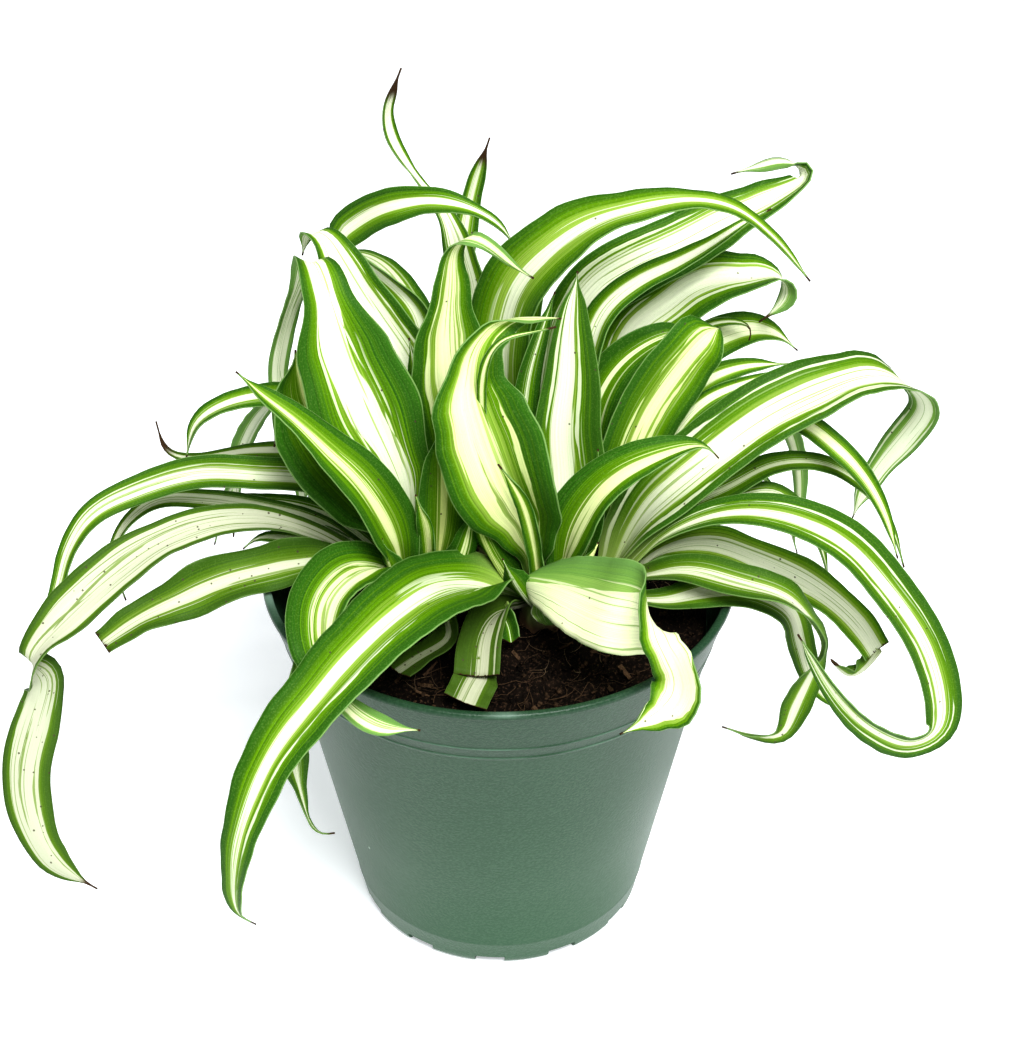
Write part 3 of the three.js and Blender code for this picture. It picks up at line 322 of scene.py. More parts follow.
        group="right", bearing=0, width=11.5, roll=(20, 30, 40, 60, 75, 75, 70, 60), taper=4,
        band=((-0.15, 0.35),), lines=(-0.55, 0.55), dirt_and_shade=0.25,
        points=((30, -1, 94), (39, -4, 109), (52, -7, 118), (65, -10, 120), (80, -12, 114),
                (93, -12, 99), (103, -12, 83), (108, -13, 68), (108, -14, 58), (101, -18, 57),
                (89, -24, 67), (79, -28, 81), (69, -30, 100))),
    "right_hidden": dict(
        group="right", bearing=10, width=6, roll=(30, 30, 50, 60), band=((-0.2, 0.3),), tone_and_shade=-0.2,
        dirt_and_shade=0.5,
        points=((31, 7, 91), (49, 14, 104), (61, 16, 108), (67, 16, 109), (74, 14, 104),
                (79, 10, 96), (81, 6, 88))),
    "right_torn": dict(
        group="right", bearing=0, width=10, roll=(30, 30, 40, 45, 50), wave=(1.2, 3, 0), cut=True,
        shape=(0.55, 0.7, 0.85, 1, 1.05, 1.05, 1, 0.95, 0.85), band=((-0.5, 0.5),), tone_and_shade=0.5,
        dirt_and_shade=0.3,
        points=((31, 1, 92), (39, 1, 101), (50, 1, 103.5), (61, 1, 99.5), (72.5, 1, 93.4),
                (82, 0, 86.6), (88.6, -1, 79.7), (92.5, -3, 74))),
    "right_front": dict(
        group="right", bearing=-15, width=10, roll=(20, 30, 30, 20, 0, -20, 10, 60, 90, 60, 20),
        taper=5, shape=(0.5, 0.7, 0.9, 1, 1, 1, 0.9, 0.7, 0.75, 0.75, 0.5, 0.5, 0.05),
        band=((-0.3, 0.3),), dirt_and_shade=0.7,
        points=((29, -1, 94), (37, -8, 101), (45, -12, 105), (56, -17, 105), (67, -20, 103),
                (74, -20, 95), (77, -18, 87), (75, -17, 79), (72, -17, 69), (69, -17, 59),
                (62, -18, 60), (54, -21, 65))),
    "right_under": dict(
        group="right", bearing=-10, width=10, roll=(20, 30, 40, 60, 60), band=((-0.35, 0.35),),
        tone_and_shade=-0.1, dirt_and_shade=0.6,
        points=((27, -1, 92), (34, -10, 95), (41, -13, 97), (48, -14, 100), (58, -13, 100),
                (69, -11, 93), (73, -9, 81), (77, -7, 68), (86, -7, 57))),
    "back_middle": dict(
        group="back", bearing=90, width=14, wave=(0.8, 3, 0), band=((-0.4, 0.3),), lines=(0.45, 2),
        points=((2, 25, 93), (4, 38, 110), (4, 58, 122), (3, 80, 116), (2, 97, 95), (2, 103, 68),
                (3, 101, 44))),
    "back_right": dict(
        group="back", bearing=60, width=13, wave=(0.8, 3, 0), band=((-0.3, 0.45),),
        points=((6, 23, 93), (17, 40, 112), (30, 57, 120), (43, 72, 112), (53, 82, 90),
                (55, 85, 64))),
    "back_left": dict(
        group="back", bearing=120, width=13, wave=(0.8, 3, 1), band=((-0.55, 0.3),), lines=(0.5, 2),
        points=((-6, 22, 93), (-18, 38, 112), (-31, 54, 118), (-44, 68, 107), (-53, 76, 84),
                (-55, 77, 58))),
    "back_low_right": dict(
        group="back", bearing=50, width=11, band=((-0.3, 0.3),), cream=0.3,
        points=((30, 8, 98), (43, 25, 112), (57, 42, 116), (70, 56, 108), (79, 66, 86),
                (82, 69, 60))),
    "back_low_left": dict(
        group="back", bearing=125, width=11, band=((-0.4, 0.5),), dry=0.05,
        points=((-18, 2, 99), (-29, 24, 119), (-43, 42, 121), (-58, 56, 110), (-69, 64, 88),
                (-73, 66, 60))),
    "back_short": dict(
        group="back", bearing=80, width=11, band=((-0.2, 0.3),), cream=0.5, tone_and_shade=0.2,
        points=((2, 23, 99), (4, 38, 128), (8, 52, 150), (12, 64, 155), (16, 76, 148))),
    "back_tuft_left": dict(
        group="back", bearing=120, width=10, band=((-0.35, 0.35),), cream=0.2,
        points=((-4, 22, 99), (-17, 42, 134), (-28, 56, 148), (-39, 68, 146), (-48, 77, 134))),
    "back_tuft_right": dict(
        group="back", bearing=55, width=10, band=((-0.45, 0.25),), lines=(0.4, 2),
        points=((4, 24, 97), (18, 44, 130), (32, 58, 145), (46, 70, 144), (56, 79, 130))),
    "back_under": dict(
        group="back", bearing=90, width=9, band=((-0.3, 0.4),), tone_and_shade=-0.2,
        points=((1, 27, 94), (4, 46, 103), (6, 62, 102), (8, 74, 88), (9, 80, 66))),
    "back_far_left": dict(
        group="back", bearing=155, width=9, band=((-0.4, 0.3),),
        points=((-5, 21, 93), (-22, 28, 104), (-40, 37, 108), (-58, 45, 102), (-70, 50, 87),
                (-76, 51, 68))),
    "back_far_right": dict(
        group="back", bearing=25, width=9, band=((-0.3, 0.35),), cream=0.2,
        points=((5, 21, 92), (24, 32, 102), (44, 40, 104), (61, 46, 98), (73, 49, 84),
                (79, 50, 66))),
    "back_fold_left": dict(
        group="back", bearing=110, width=10, band=((-0.2, 0.25),), tone_and_shade=-0.3,
        points=((-3, 24, 92), (-9, 42, 103), (-16, 60, 104), (-22, 74, 92), (-25, 80, 68))),
    "back_fold_right": dict(
        group="back", bearing=70, width=9, band=((-0.35, 0.4),),
        points=((4, 24, 92), (14, 42, 102), (21, 58, 103), (28, 70, 92), (32, 76, 70))),
}
# Leaves of the crowns' own solids, then slighter ones that have no solid of their own
CROWN_LEAVES = {
    "heart_spear": dict(
        bearing=90, width=5, band=((-0.3, 0.3),), cream=0.8, dry=0.05,
        points=((10, -10, 98), (7, -16, 122), (4, -19, 133), (0, -21, 141))),
    "heart_young": dict(
        bearing=90, width=6, band=((-0.2, 0.5),), cream=0.8,
        points=((13, -8, 95), (18, -9, 112), (21, -10, 121))),
    # Painted shade: this stub's low tone and high dirt darken it where it lies in shadow
    "stub_front": dict(
        bearing=260, width=11, cut=True, band=((-0.5, 0.07),), lines=(-0.75, 2), tone_and_shade=-0.7,
        dirt_and_shade=1.4,
        points=((7, -11, 94), (-1, -21, 98.5), (-4, -29, 98), (-4.9, -38, 94))),
    "left_young": dict(
        bearing=90, width=5.5, band=((-0.1, 0.6),), cream=0.8,
        points=((-17, -6, 96), (-17, -12, 117), (-19, -14, 128))),
    # Painted shade: this stub's low tone and high dirt darken it where it lies in shadow
    "stub_left": dict(
        bearing=215, width=8, roll=(0, 0, 0), cut=True, band=((-0.2, 0.3),), tone_and_shade=-0.5, dirt_and_shade=1.4,
        points=((-14, -8, 94), (-12.4, -18.4, 96), (-10.9, -23.5, 94), (-14.1, -26.7, 93.5),
                (-18.9, -30.8, 93.2), (-23.1, -35.2, 92.8))),
}
SLIGHT_LEAVES = {
    "right_tip": dict(
        bearing=50, width=5, roll=(20, 30, 60, 60), band=((-0.2, 0.4),), dirt_and_shade=0.5, dry=0.08,
        points=((28, 9, 92), (33, 28, 119), (46, 36, 141), (55, 38, 144), (62, 38, 142),
                (61, 37, 139))),
    "left_shade": dict(
        bearing=170, width=7, roll=(0, -30, -40), band=((-0.5, 0.4),), tone_and_shade=-0.2,
        points=((-21, 3, 91), (-42, 17, 100), (-60, 24, 100), (-72, 26, 98), (-79, 26, 94))),
    "left_shade_short": dict(
        bearing=170, width=6, roll=(0, -30, -40), band=((-0.3, 0.4),), tone_and_shade=-0.3,
        points=((-24, 1, 91), (-39, 8, 97), (-51, 8, 100), (-59, 6, 102), (-62, 4, 100))),
    "right_level_thin": dict(
        bearing=30, width=6, roll=(40, 40, 40), band=((-0.4, 0.4),), cream=0.3,
        points=((30, 8, 97), (40, 14, 123), (49, 17, 134), (61, 20, 138), (71, 22, 140))),
    "upright_back": dict(
        bearing=90, width=8, band=((-0.2, 0.5),),
        points=((-4, 15, 96), (-14, 13, 129), (-19, 14, 141), (-21, 16, 152))),
    # Painted shade: this cut piece's low tone and high dirt darken it where it lies in shadow
    "stub_fan": dict(
        bearing=248, width=10.5, roll=(-15, -15), fold=(8, 8), base=0.65, cut=True, foot=0.1,
        band=((-0.45, 0.35),), lines=(0.12, 0.55), tone_and_shade=-0.6, dirt_and_shade=1.4,
        points=((-3.3, -34.2, 93.2), (-5.6, -39, 92.6), (-7.6, -44.9, 91.8))),
    "torn_strip": dict(
        bearing=190, width=3.6, roll=(60, 40, 20), taper=2, band=((-0.4, 0.4),), dirt_and_shade=0.8, dry=0.1,
        points=((94, -3, 74), (90.5, -4, 69), (86.4, -6, 68.1), (81.2, -8, 74.7))),
    # Leaf feet in the shadowed heart: the low tone of these sheaths is painted shade
    "sheath_front": dict(
        bearing=270, width=13, fold=(40, 30), taper=2, base=0.8, flip=True, band=((-0.05, 0.1),),
        tone_and_shade=-0.5,
        points=((12, -11, 90), (8, -17, 98), (4, -20, 107), (1, -21, 115))),
    "sheath_left": dict(
        bearing=250, width=12, fold=(40, 30), taper=2, base=0.8, flip=True, band=((-0.1, 0.3),),
        cream=0.9, tone_and_shade=-0.3,
        points=((8, -8, 90), (2, -10, 100), (-3, -11, 112), (-6, -12, 124))),
    "sheath_right": dict(
        bearing=300, width=14, fold=(40, 30), taper=2, base=0.8, flip=True, band=((-0.5, 0.6),),
        cream=0.9,
        points=((12, -11, 90), (16, -15, 98), (20, -16, 107), (23, -16, 116))),
    "sheath_middle": dict(
        bearing=280, width=13, fold=(40, 30), taper=2, base=0.8, flip=True, band=((-0.1, 0.2),),
        cream=0.6, tone_and_shade=-0.6,
        points=((-16, -5, 90), (-12, -10, 99), (-8, -11, 110), (-6, -11, 122))),
    "sheath_low_left": dict(
        bearing=240, width=13, fold=(40, 30), taper=2, base=0.8, flip=True, band=((-0.1, 0.2),),
        cream=0.6, tone_and_shade=-0.4,
        points=((-21, -6, 90), (-23, -13, 98), (-25, -16, 108), (-27, -17, 118))),
    "base_flap": dict(
        bearing=90, width=9, fold=(10, 10), wave=(0.8, 2, 0), cut=True, foot=0.1,
        shape=(0.6, 0.9, 1, 0.95, 0.75, 0.3), band=((-1.2, -0.95),), dirt_and_shade=0.2, dry=0.0,
        points=((11.8, -17, 100.2), (12, -20, 99), (12.3, -21.5, 96.3))),
    "stub_shade": dict(
        bearing=270, width=5.5, cut=True, band=((-0.1, 0.05),), tone_and_shade=-0.7,
        points=((0.3, -15.3, 96), (2.2, -19.3, 94), (2.9, -23.5, 92.5))),
    "heart_tip": dict(
        bearing=20, width=4, roll=(30, 30), taper=2, band=((-0.3, 0.5),), cream=0.6, dry=0.03,
        points=((12, -7, 95), (-3.2, -10, 145.8), (-2.4, -13, 163.3), (1.6, -15, 170.1),
                (7, -16, 172), (12.7, -17, 174.1))),
}
# Where each crown stands, in millimetres
CROWNS = {"a": (11, -8), "b": (-20, -3), "c": (27, 4), "d": (0, 19)}


def colour_setting(name, description, default):
    """A setting that holds a plain colour."""
    return FloatVectorProperty(name=name, description=description, subtype="COLOR",
                               default=default, min=0, max=1)


def length_setting(name, description, default):
    """A setting that holds a length in metres."""
    return FloatProperty(name=name, description=description, unit="LENGTH", default=default)


class StageSettings(bpy.types.PropertyGroup):
    """Floor, light and camera"""

    floor_colour: colour_setting("Floor colour", "Colour of the plain floor", (0.93, 0.95, 0.965))
    sky: FloatProperty(name="Sky", description="Strength of the even light all round", default=0.4)
    glow: FloatProperty(name="Floor glow", description="Light that the lit table itself gives",
                        default=0.37)
    key: FloatProperty(name="Key light", description="Power of the soft light above",
                       subtype="POWER", default=21.0)
    lens: FloatProperty(name="Lens", description="Focal length", subtype="DISTANCE_CAMERA",
                        default=81.64)
    tilt: FloatProperty(name="Camera tilt", description="Turn of the camera about X",
                        subtype="ANGLE", default=math.radians(55.2))
    place: FloatVectorProperty(name="Camera place", description="Where the camera stands",
                               subtype="XYZ", unit="LENGTH", default=(0.00312, -0.4641, 0.4330))


class PotSettings(bpy.types.PropertyGroup):
    """Sizes and colours of the nursery pot"""

    height: length_setting("Height", "Base to lip", POT_HIGH.z - POT_LOW.z)
    rim_radius: length_setting("Rim radius", "Outside of the lip", 57 * MM)
    base_radius: length_setting("Base radius", "Outside of the base", 35.8 * MM)
    collar_depth: length_setting("Collar depth", "Lip to the lower fine ring", 16.5 * MM)
    wall: length_setting("Wall", "Thickness of the plastic", 1.3 * MM)
    slots: IntProperty(name="Drain slots", description="Notches round the base", default=12, min=3)
    colour: colour_setting("Plastic", "Colour of the plastic", (0.024, 0.072, 0.034))
    # Painted shade: the darker green laid over the collar and the upper wall
    collar_shade_colour: colour_setting("Collar", "Colour of the collar", (0.011, 0.038, 0.017))


class SoilSettings(bpy.types.PropertyGroup):
    """Potting mix"""

    crumbs: IntProperty(name="Crumbs", description="Loose crumbs on the soil", default=1500, min=0)
    chips: IntProperty(name="Bark chips", description="Bits of bark", default=60, min=0)
    fibres: IntProperty(name="Fibres", description="Coir fibres and root hairs", default=220, min=0)
    colour: colour_setting("Peat", "Colour of the peat", (0.005, 0.003, 0.0018))
    fibre_colour: colour_setting("Fibre", "Colour of bark and coir", (0.075, 0.045, 0.025))


class LeafSettings(bpy.types.PropertyGroup):
    """Blades and their variegation"""

    thickness: length_setting("Thickness", "Of the blade", 0.32 * MM)
    spacing: length_setting("Row spacing", "Between rows of faces", 1.7 * MM)
    columns: IntProperty(name="Columns", description="Faces across a blade", default=14, min=4)
    sheath: length_setting("Sheath", "Half width of a leaf's foot", 4.2 * MM)
    deep: colour_setting("Deep green", "Outer margins", (0.024, 0.092, 0.006))
    middle: colour_setting("Middle green", "Within the margins", (0.087, 0.205, 0.001))
    bright: colour_setting("Bright green", "Beside the stripe", (0.235, 0.365, 0.05))
    cream: colour_setting("Cream", "Young stripe", (0.8, 0.86, 0.33))
    white: colour_setting("White", "Grown stripe", (0.8, 0.84, 0.67))
    dry: colour_setting("Dry", "Withered tips", (0.045, 0.025, 0.012))


class Value:
    """An output in a shader tree; arithmetic on it adds math nodes."""

    def __init__(self, tree, socket):
        self.tree, self.socket = tree, socket

    def math(self, operation, *others, clamp=False):
        """This value and the others through one math node."""
        made = add(self.tree, "ShaderNodeMath", dict(enumerate((self, *others))),
                   operation=operation, use_clamp=clamp)
        return Value(self.tree, made.outputs[0])

    def scaled(self, factor, offset, clamp=False):
        """This value times the factor, plus the offset."""
        return self.math("MULTIPLY_ADD", factor, offset, clamp=clamp)

    def fade(self, low, high):
        """0 where the value is low, 1 where it is high, smooth between."""
        made = add(self.tree, "ShaderNodeMapRange",
                   {"Value": self, "From Min": low, "From Max": high},
                   interpolation_type="SMOOTHSTEP")
        return Value(self.tree, made.outputs["Result"])

    def __add__(self, other):
        return self.math("ADD", other)

    def __sub__(self, other):
        return self.math("SUBTRACT", other)

    def __rsub__(self, other):
        return self.scaled(-1.0, other)

    def __mul__(self, other):
        return self.math("MULTIPLY", other)

    def __truediv__(self, other):
        return self.math("DIVIDE", other)

    def __abs__(self):
        return self.math("ABSOLUTE")


def feed(tree, node, inputs):
    """Link each input to an output of the tree, or set it to a plain number or colour."""
    for name, value in inputs.items():
        socket = node.inputs[name]
        if isinstance(value, Value):
            value = value.socket
        if isinstance(value, bpy.types.NodeSocket):
            tree.links.new(value, socket)
        elif socket.type == "RGBA":
            socket.default_value = (*value, 1.0)
        else:
            socket.default_value = value


def add(tree, kind, inputs=None, **settings):
    """A new node with its settings and its inputs."""
    made = tree.nodes.new(kind)
    for name, value in settings.items():
        setattr(made, name, value)
    feed(tree, made, inputs or {})
    return made


def split(tree, vector):
    """The three parts of a vector."""
    return [Value(tree, part) for part in add(tree, "ShaderNodeSeparateXYZ", {0: vector}).outputs]


def noise_at(tree, place, scale, detail, roughness=0.5):
    """Noise from 0 to 1."""
    made = add(tree, "ShaderNodeTexNoise", {"Vector": place, "Scale": scale, "Detail": detail,
                                            "Roughness": roughness})
    return Value(tree, made.outputs["Fac"])


def mix(tree, kind, share, first, second):
    """Two colours mixed in one node."""
    return add(tree, "ShaderNodeMix", {0: share, 6: first, 7: second}, data_type="RGBA",
               blend_type=kind).outputs[2]


def layered(tree, colour, *layers):
    """The colour with others laid over it in turn, each given as its share and the colour."""
    for share, over in layers:
        colour = mix(tree, "MIX", share, colour, over)
    return colour


def shaded(tree, colour, shade):
    """The colour times a grey."""
    grey = add(tree, "ShaderNodeCombineColor", {0: shade, 1: shade, 2: shade}).outputs[0]
    return mix(tree, "MULTIPLY", 1.0, colour, grey)


def new_group(name, inputs, outputs):
    """An empty shader group, its sockets named by kind; its tree, its inputs and its end node."""
    tree = bpy.data.node_groups.new(name, "ShaderNodeTree")
    for way, sockets in (("INPUT", inputs), ("OUTPUT", outputs)):
        for kind, labels in sockets.items():
            for label in labels:
                tree.interface.new_socket(name=label, in_out=way, socket_type=f"NodeSocket{kind}")
    return tree, tree.nodes.new("NodeGroupInput").outputs, tree.nodes.new("NodeGroupOutput")


def speck_group():
    """Small round specks, some cells without one."""
    tree, given, out = new_group(
        "specks", {"Vector": ["Vector"], "Float": ["Scale", "Size", "Share"]}, {"Float": ["Mask"]})
    cells = add(tree, "ShaderNodeTexVoronoi", {"Vector": given["Vector"], "Scale": given["Scale"]})
    near = Value(tree, cells.outputs["Distance"]).math("LESS_THAN", given["Size"])
    chance = add(tree, "ShaderNodeSeparateColor", {"Color": cells.outputs["Color"]}).outputs[0]
    picked = Value(tree, chance).math("LESS_THAN", given["Share"])
    feed(tree, out, {"Mask": near * picked})
    return tree


def grain_group():
    """Fine moulded or earthy grain: a height and a patchy mask."""
    tree, given, out = new_group(
        "fine_grain", {"Vector": ["Vector"], "Float": ["Scale", "Patch"]},
        {"Float": ["Height", "Patchy"]})
    feed(tree, out, {"Height": noise_at(tree, given["Vector"], given["Scale"], 3.0, 0.6),
                     "Patchy": noise_at(tree, given["Vector"], given["Patch"], 2.0)})
    return tree


def pale_parts(tree, side, band, lines, streaks):
    """How far a place lies outside the pale band, and how pale it is."""
    ragged, threads, wedges, _, mottle = streaks
    left, right, cream = band
    shifted = side + ragged.scaled(0.1, -0.05)
    left_room = (left + 1.0).math("MAXIMUM", LEAST_ROOM)
    right_room = (1.0 - right).math("MAXIMUM", LEAST_ROOM)
    outside = ((left - shifted) / left_room).math("MAXIMUM", (shifted - right) / right_room)
    beside = wedges.fade(0.66, 0.7) * outside.fade(0.5, 0.1)
    pale = abs(outside.fade(0.02, -0.01) - beside * 0.75)
    inside = threads.fade(0.6, 0.66) * outside.fade(-0.55, -0.02) * cream.scaled(-0.24, 0.3)
    pale = pale.math("SUBTRACT", inside, clamp=True)
    placed = side + mottle.scaled(0.08, -0.04)
    nearest = abs(placed - lines[0]).math("MINIMUM", abs(placed - lines[1]))
    line = (nearest - mottle.scaled(0.3, -0.115)).fade(0.012, -0.012)
    return outside, abs(pale - line * 0.85)


def variegation_group():
    """Stripes, veins, dry tip and specks of a blade from its place across and along."""
    tree, given, out = new_group(
        "variegation", {"Vector": [name.title() for name in LAYERS],
                        "Color": [name.title() for name in LEAF_COLOURS], "Float": ["Underside"]},
        {"Color": ["Colour"], "Float": ["Roughness", "Height"]})
    across, along, _ = split(tree, given["Blade"])
    _, run, chance = split(tree, given["Grain"])
    band = split(tree, given["Band"])
    dry, tone_and_shade, dirt_and_shade = split(tree, given["Age"])
    underside = Value(tree, given["Underside"])
    side = across.scaled(2.0, -1.0)

    def streak(across_scale, along_scale, detail):
        """Noise drawn out along the blade."""
        place = add(tree, "ShaderNodeCombineXYZ", {
            0: side * across_scale, 1: run * along_scale, 2: chance}).outputs[0]
        return noise_at(tree, place, 1.0, detail, 0.6)

    streaks = [streak(*scales) for scales in STREAKS.values()]
    ragged, threads, _, veins, mottle = streaks
    outside, pale = pale_parts(tree, side, band, split(tree, given["Lines"]), streaks)

    # The tone shifts the green: the leaf's own tone, and painted shade on the stubs and sheaths
    margin = outside + threads.scaled(0.9, -0.42) - tone_and_shade * 0.4
    green = layered(tree, given["Bright"], (margin.fade(0.0, 0.35), given["Middle"]),
                    (margin.fade(0.3, 0.85), given["Deep"]))
    stripe = layered(tree, given["White"], (band[2], given["Cream"]),
                     (outside.fade(-0.4, 0.0) * 0.2, given["Bright"]))
    fresh = shaded(tree, layered(tree, green, (pale, stripe)),
                   (veins - 0.5).scaled(pale.scaled(-0.5, 1.0), 1.0))
    cells = noise_at(tree, given["Grain"], 26.0, 1.0).fade(0.5, 0.7)
    rim = abs(side).fade(0.972, 0.995)
    foot = along.fade(0.14, 0.0)
    dull = (1.0 - pale).scaled(dirt_and_shade.scaled(-0.5, 0.55), pale * dirt_and_shade.scaled(0.3, 0.08))
    dots = use_group(tree, "specks", {"Vector": given["Grain"], "Scale": 4.0, "Size": 0.11,
                                      "Share": dirt_and_shade * 0.8})
    reach = (dry + ragged.scaled(0.05, -0.025)).math("MAXIMUM", LEAST_DRY)
    withered = 1.0 - (1.0 - along).fade(reach * 0.6, reach)
    withered = withered * dry.math("GREATER_THAN", LEAST_DRY)
    # The dirt lays grime and specks, and on the stubs its dark layer is painted shade
    colour = layered(
        tree, fresh, (cells * 0.1, CELL_GREEN), (rim * 0.4, EDGE_GREEN), (foot * 0.7, FOOT_GREEN),
        (underside * dull, layered(tree, UNDER_GREEN, (pale, UNDER_PALE))),
        (dirt_and_shade * 0.55, layered(tree, DIRT_AND_SHADE_GREEN, (pale, DIRT_AND_SHADE_PALE))),
        (dots["Mask"] * 0.85, SPECK_BROWN), (withered, given["Dry"]))
    rough = underside.scaled(0.16, 0.36) + mottle * 0.14
    feed(tree, out, {"Colour": colour, "Roughness": withered.scaled(0.3, rough, clamp=True),
                     "Height": veins + threads * 0.8})
    return tree


def use_group(tree, name, inputs):
    """The outputs of a shader group, which is built on first use."""
    makers = {"specks": speck_group, "fine_grain": grain_group, "variegation": variegation_group}
    group = bpy.data.node_groups.get(name) or makers[name]()
    made = add(tree, "ShaderNodeGroup", inputs, node_tree=group)
    return {socket.name: Value(tree, socket) for socket in made.outputs}


def new_material(name):
    """A material with the tree that feeds it and its shader."""
    material = bpy.data.materials.new(name)
    material.use_nodes = True
    tree = material.node_tree
    return material, tree, next(n for n in tree.nodes if n.type == "BSDF_PRINCIPLED")


def grained_material(name, scale, patch):
    """A material with fine grain, and the object's own coordinates."""
    material, tree, shader = new_material(name)
    at = add(tree, "ShaderNodeTexCoord").outputs["Object"]
    grain = use_group(tree, "fine_grain", {"Vector": at, "Scale": scale, "Patch": patch})
    return material, tree, shader, at, grain


def bumpy(tree, height, strength, distance):
    """A normal with the bumps of a height."""
    return add(tree, "ShaderNodeBump", {"Height": height, "Strength": strength,
                                        "Distance": distance}).outputs[0]


def blade_material(name, underside):
    """The leaf material of one side, made on first use."""
    found = bpy.data.materials.get(name)
    if found:
        return found
    leaf = bpy.context.scene.plant_leaves
    material, tree, shader = new_material(name)
    inputs = {colour.title(): getattr(leaf, colour) for colour in LEAF_COLOURS}
    for layer in LAYERS:
        read = add(tree, "ShaderNodeAttribute", attribute_name=layer)
        inputs[layer.title()] = read.outputs["Vector"]
    made = use_group(tree, "variegation", {**inputs, "Underside": underside})
    feed(tree, shader, {"Base Color": made["Colour"], "Roughness": made["Roughness"],
                        "Specular IOR Level": 0.05,
                        "Normal": bumpy(tree, made["Height"], 0.3, 0.3 * MM)})
    return material


def plastic_material():
    """Moulded plastic with painted shade on its collar, scuffed rings and lip, speckle and dust."""
    pot = bpy.context.scene.plant_pot
    material, tree, shader, at, grain = grained_material("moulded_green_plastic", 1500.0, 35.0)
    patchy = grain["Patchy"]
    height = split(tree, at)[2]
    foot = pot.height - pot.collar_depth
    # Painted shade: darker towards the top of the wall, darkest on the collar, laid twice below
    collar = height.fade(foot - 0.5 * MM, foot + 0.5 * MM).scaled(
        0.35, height.fade(0.0, foot) * 0.65)
    ring = abs(height - foot).math("MINIMUM", abs(height - (foot + RING_GAP)))
    ring = ring.fade(0.35 * MM, 0.1 * MM) * patchy.fade(0.3, 0.6)
    dust = use_group(tree, "specks", {"Vector": at, "Scale": 90.0, "Size": 0.035, "Share": 0.12})
    lip = height.fade(pot.height - 1.0 * MM, pot.height - 0.2 * MM) * patchy.fade(0.5, 0.68)
    colour = layered(
        tree, pot.colour, (collar, pot.collar_shade_colour), (patchy * 0.3, PATCH_GREEN),
        (grain["Height"].fade(0.42, 0.62) * 0.3, SPECKLE_GREEN), (collar * 0.4, pot.collar_shade_colour),
        (ring * 0.35, RING_SCUFF), (dust["Mask"] * 0.6, DUST), (lip * 0.6, LIP_SCUFF))
    feed(tree, shader, {"Base Color": colour, "Roughness": patchy.scaled(0.12, 0.32),
                        "Specular IOR Level": 0.25,
                        "Normal": bumpy(tree, grain["Height"], 0.6, 0.2 * MM)})
    return material


def earth_material(name, colour, other, patch):
    """Earth or bark of two colours in patches, with painted shade in its hollows, and lighter
    grains.
    """
    material, tree, shader, _, grain = grained_material(name, 1300.0, patch)
    mixed = layered(tree, colour, (grain["Patchy"].fade(0.45, 0.72), other))
    # Painted shade and light: the colour darkened in the grain's hollows and lightened on its tops
    mixed = shaded(tree, mixed, grain["Height"].scaled(1.2, 0.3))
    mixed = layered(tree, mixed, (grain["Height"].fade(0.56, 0.65) * 0.55, SOIL_GRAIN))
    feed(tree, shader, {"Base Color": mixed, "Roughness": grain["Patchy"].scaled(0.3, 0.6),
                        "Specular IOR Level": 0.07,
                        "Normal": bumpy(tree, grain["Height"], 1.0, 1.2 * MM)})
    return material


def stem_material():
    """Crown tissue, brown at its foot and green to cream above."""
    material, tree, shader, at, grain = grained_material("crown_stem", 700.0, 160.0)
    low = split(tree, at)[2] + grain["Patchy"] * (4 * MM)
    sheath = layered(tree, STEM_GREEN, (grain["Patchy"], STEM_CREAM))
    feed(tree, shader, {
        "Base Color": layered(tree, STEM_FOOT, (low.fade(90.5 * MM, 95 * MM), sheath)),
        "Roughness": 0.55, "Normal": bumpy(tree, grain["Height"], 0.4, 0.3 * MM)})
    return material


def floor_material():
    """The stage's pale floor, which glows a little like a lit table."""
    stage = bpy.context.scene.plant_stage
    material, tree, shader, _, grain = grained_material("pale_floor", 60.0, 3.0)
    feed(tree, shader, {
        "Base Color": layered(tree, stage.floor_colour, (grain["Patchy"] * 0.06, FLOOR_PATCH)),
        "Roughness": 0.7, "Emission Color": FLOOR_GLOW, "Emission Strength": stage.glow})
    return material


def finish_piece(name, shape, materials, nodes=(), crease=None):
    """The piece from a bmesh: smooth faces, its materials, its place in the frame."""
    for face in shape.faces:
        face.smooth = True
    if crease is not None:
        for edge in shape.edges:
            if edge.is_boundary or (len(edge.link_faces) == 2 and edge.calc_face_angle(0) > crease):
                edge.smooth = False
    mesh = bpy.data.meshes.new(name)
    shape.to_mesh(mesh)
    shape.free()
    for material in materials:
        mesh.materials.append(material)
    piece = bpy.data.objects.new(name, mesh)
    bpy.context.scene.collection.objects.link(piece)
    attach(piece, "root")
    if nodes:
        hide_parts(*nodes)
    return piece


def spin_profile(shape, points, centre, steps):
    """Turn a line of points once round an upright axis."""
    corners = [shape.verts.new(point) for point in points]
    edges = [shape.edges.new(pair) for pair in zip(corners, corners[1:])]
    bmesh.ops.spin(shape, geom=corners + edges, axis=(0, 0, 1), cent=centre, angle=math.tau,
                   steps=steps, use_merge=True)
    bmesh.ops.remove_doubles(shape, verts=shape.verts, dist=SAME_PLACE)


def ease(value):
    """0 to 1 with a soft start and end."""
    value = min(max(value, 0.0), 1.0)
    return value * value * (3 - 2 * value)


def keyed(keys, share):
    """A value, or a pair, read smoothly between evenly spaced keys."""
    if len(keys) == 1:
        return keys[0]
    place = min(max(share, 0.0), 1.0) * (len(keys) - 1)
    index = min(int(place), len(keys) - 2)
    part = ease(place - index)
    first, second = keys[index], keys[index + 1]
    if isinstance(first, tuple):
        return tuple(a + (b - a) * part for a, b in zip(first, second))
    return first + (second - first) * part


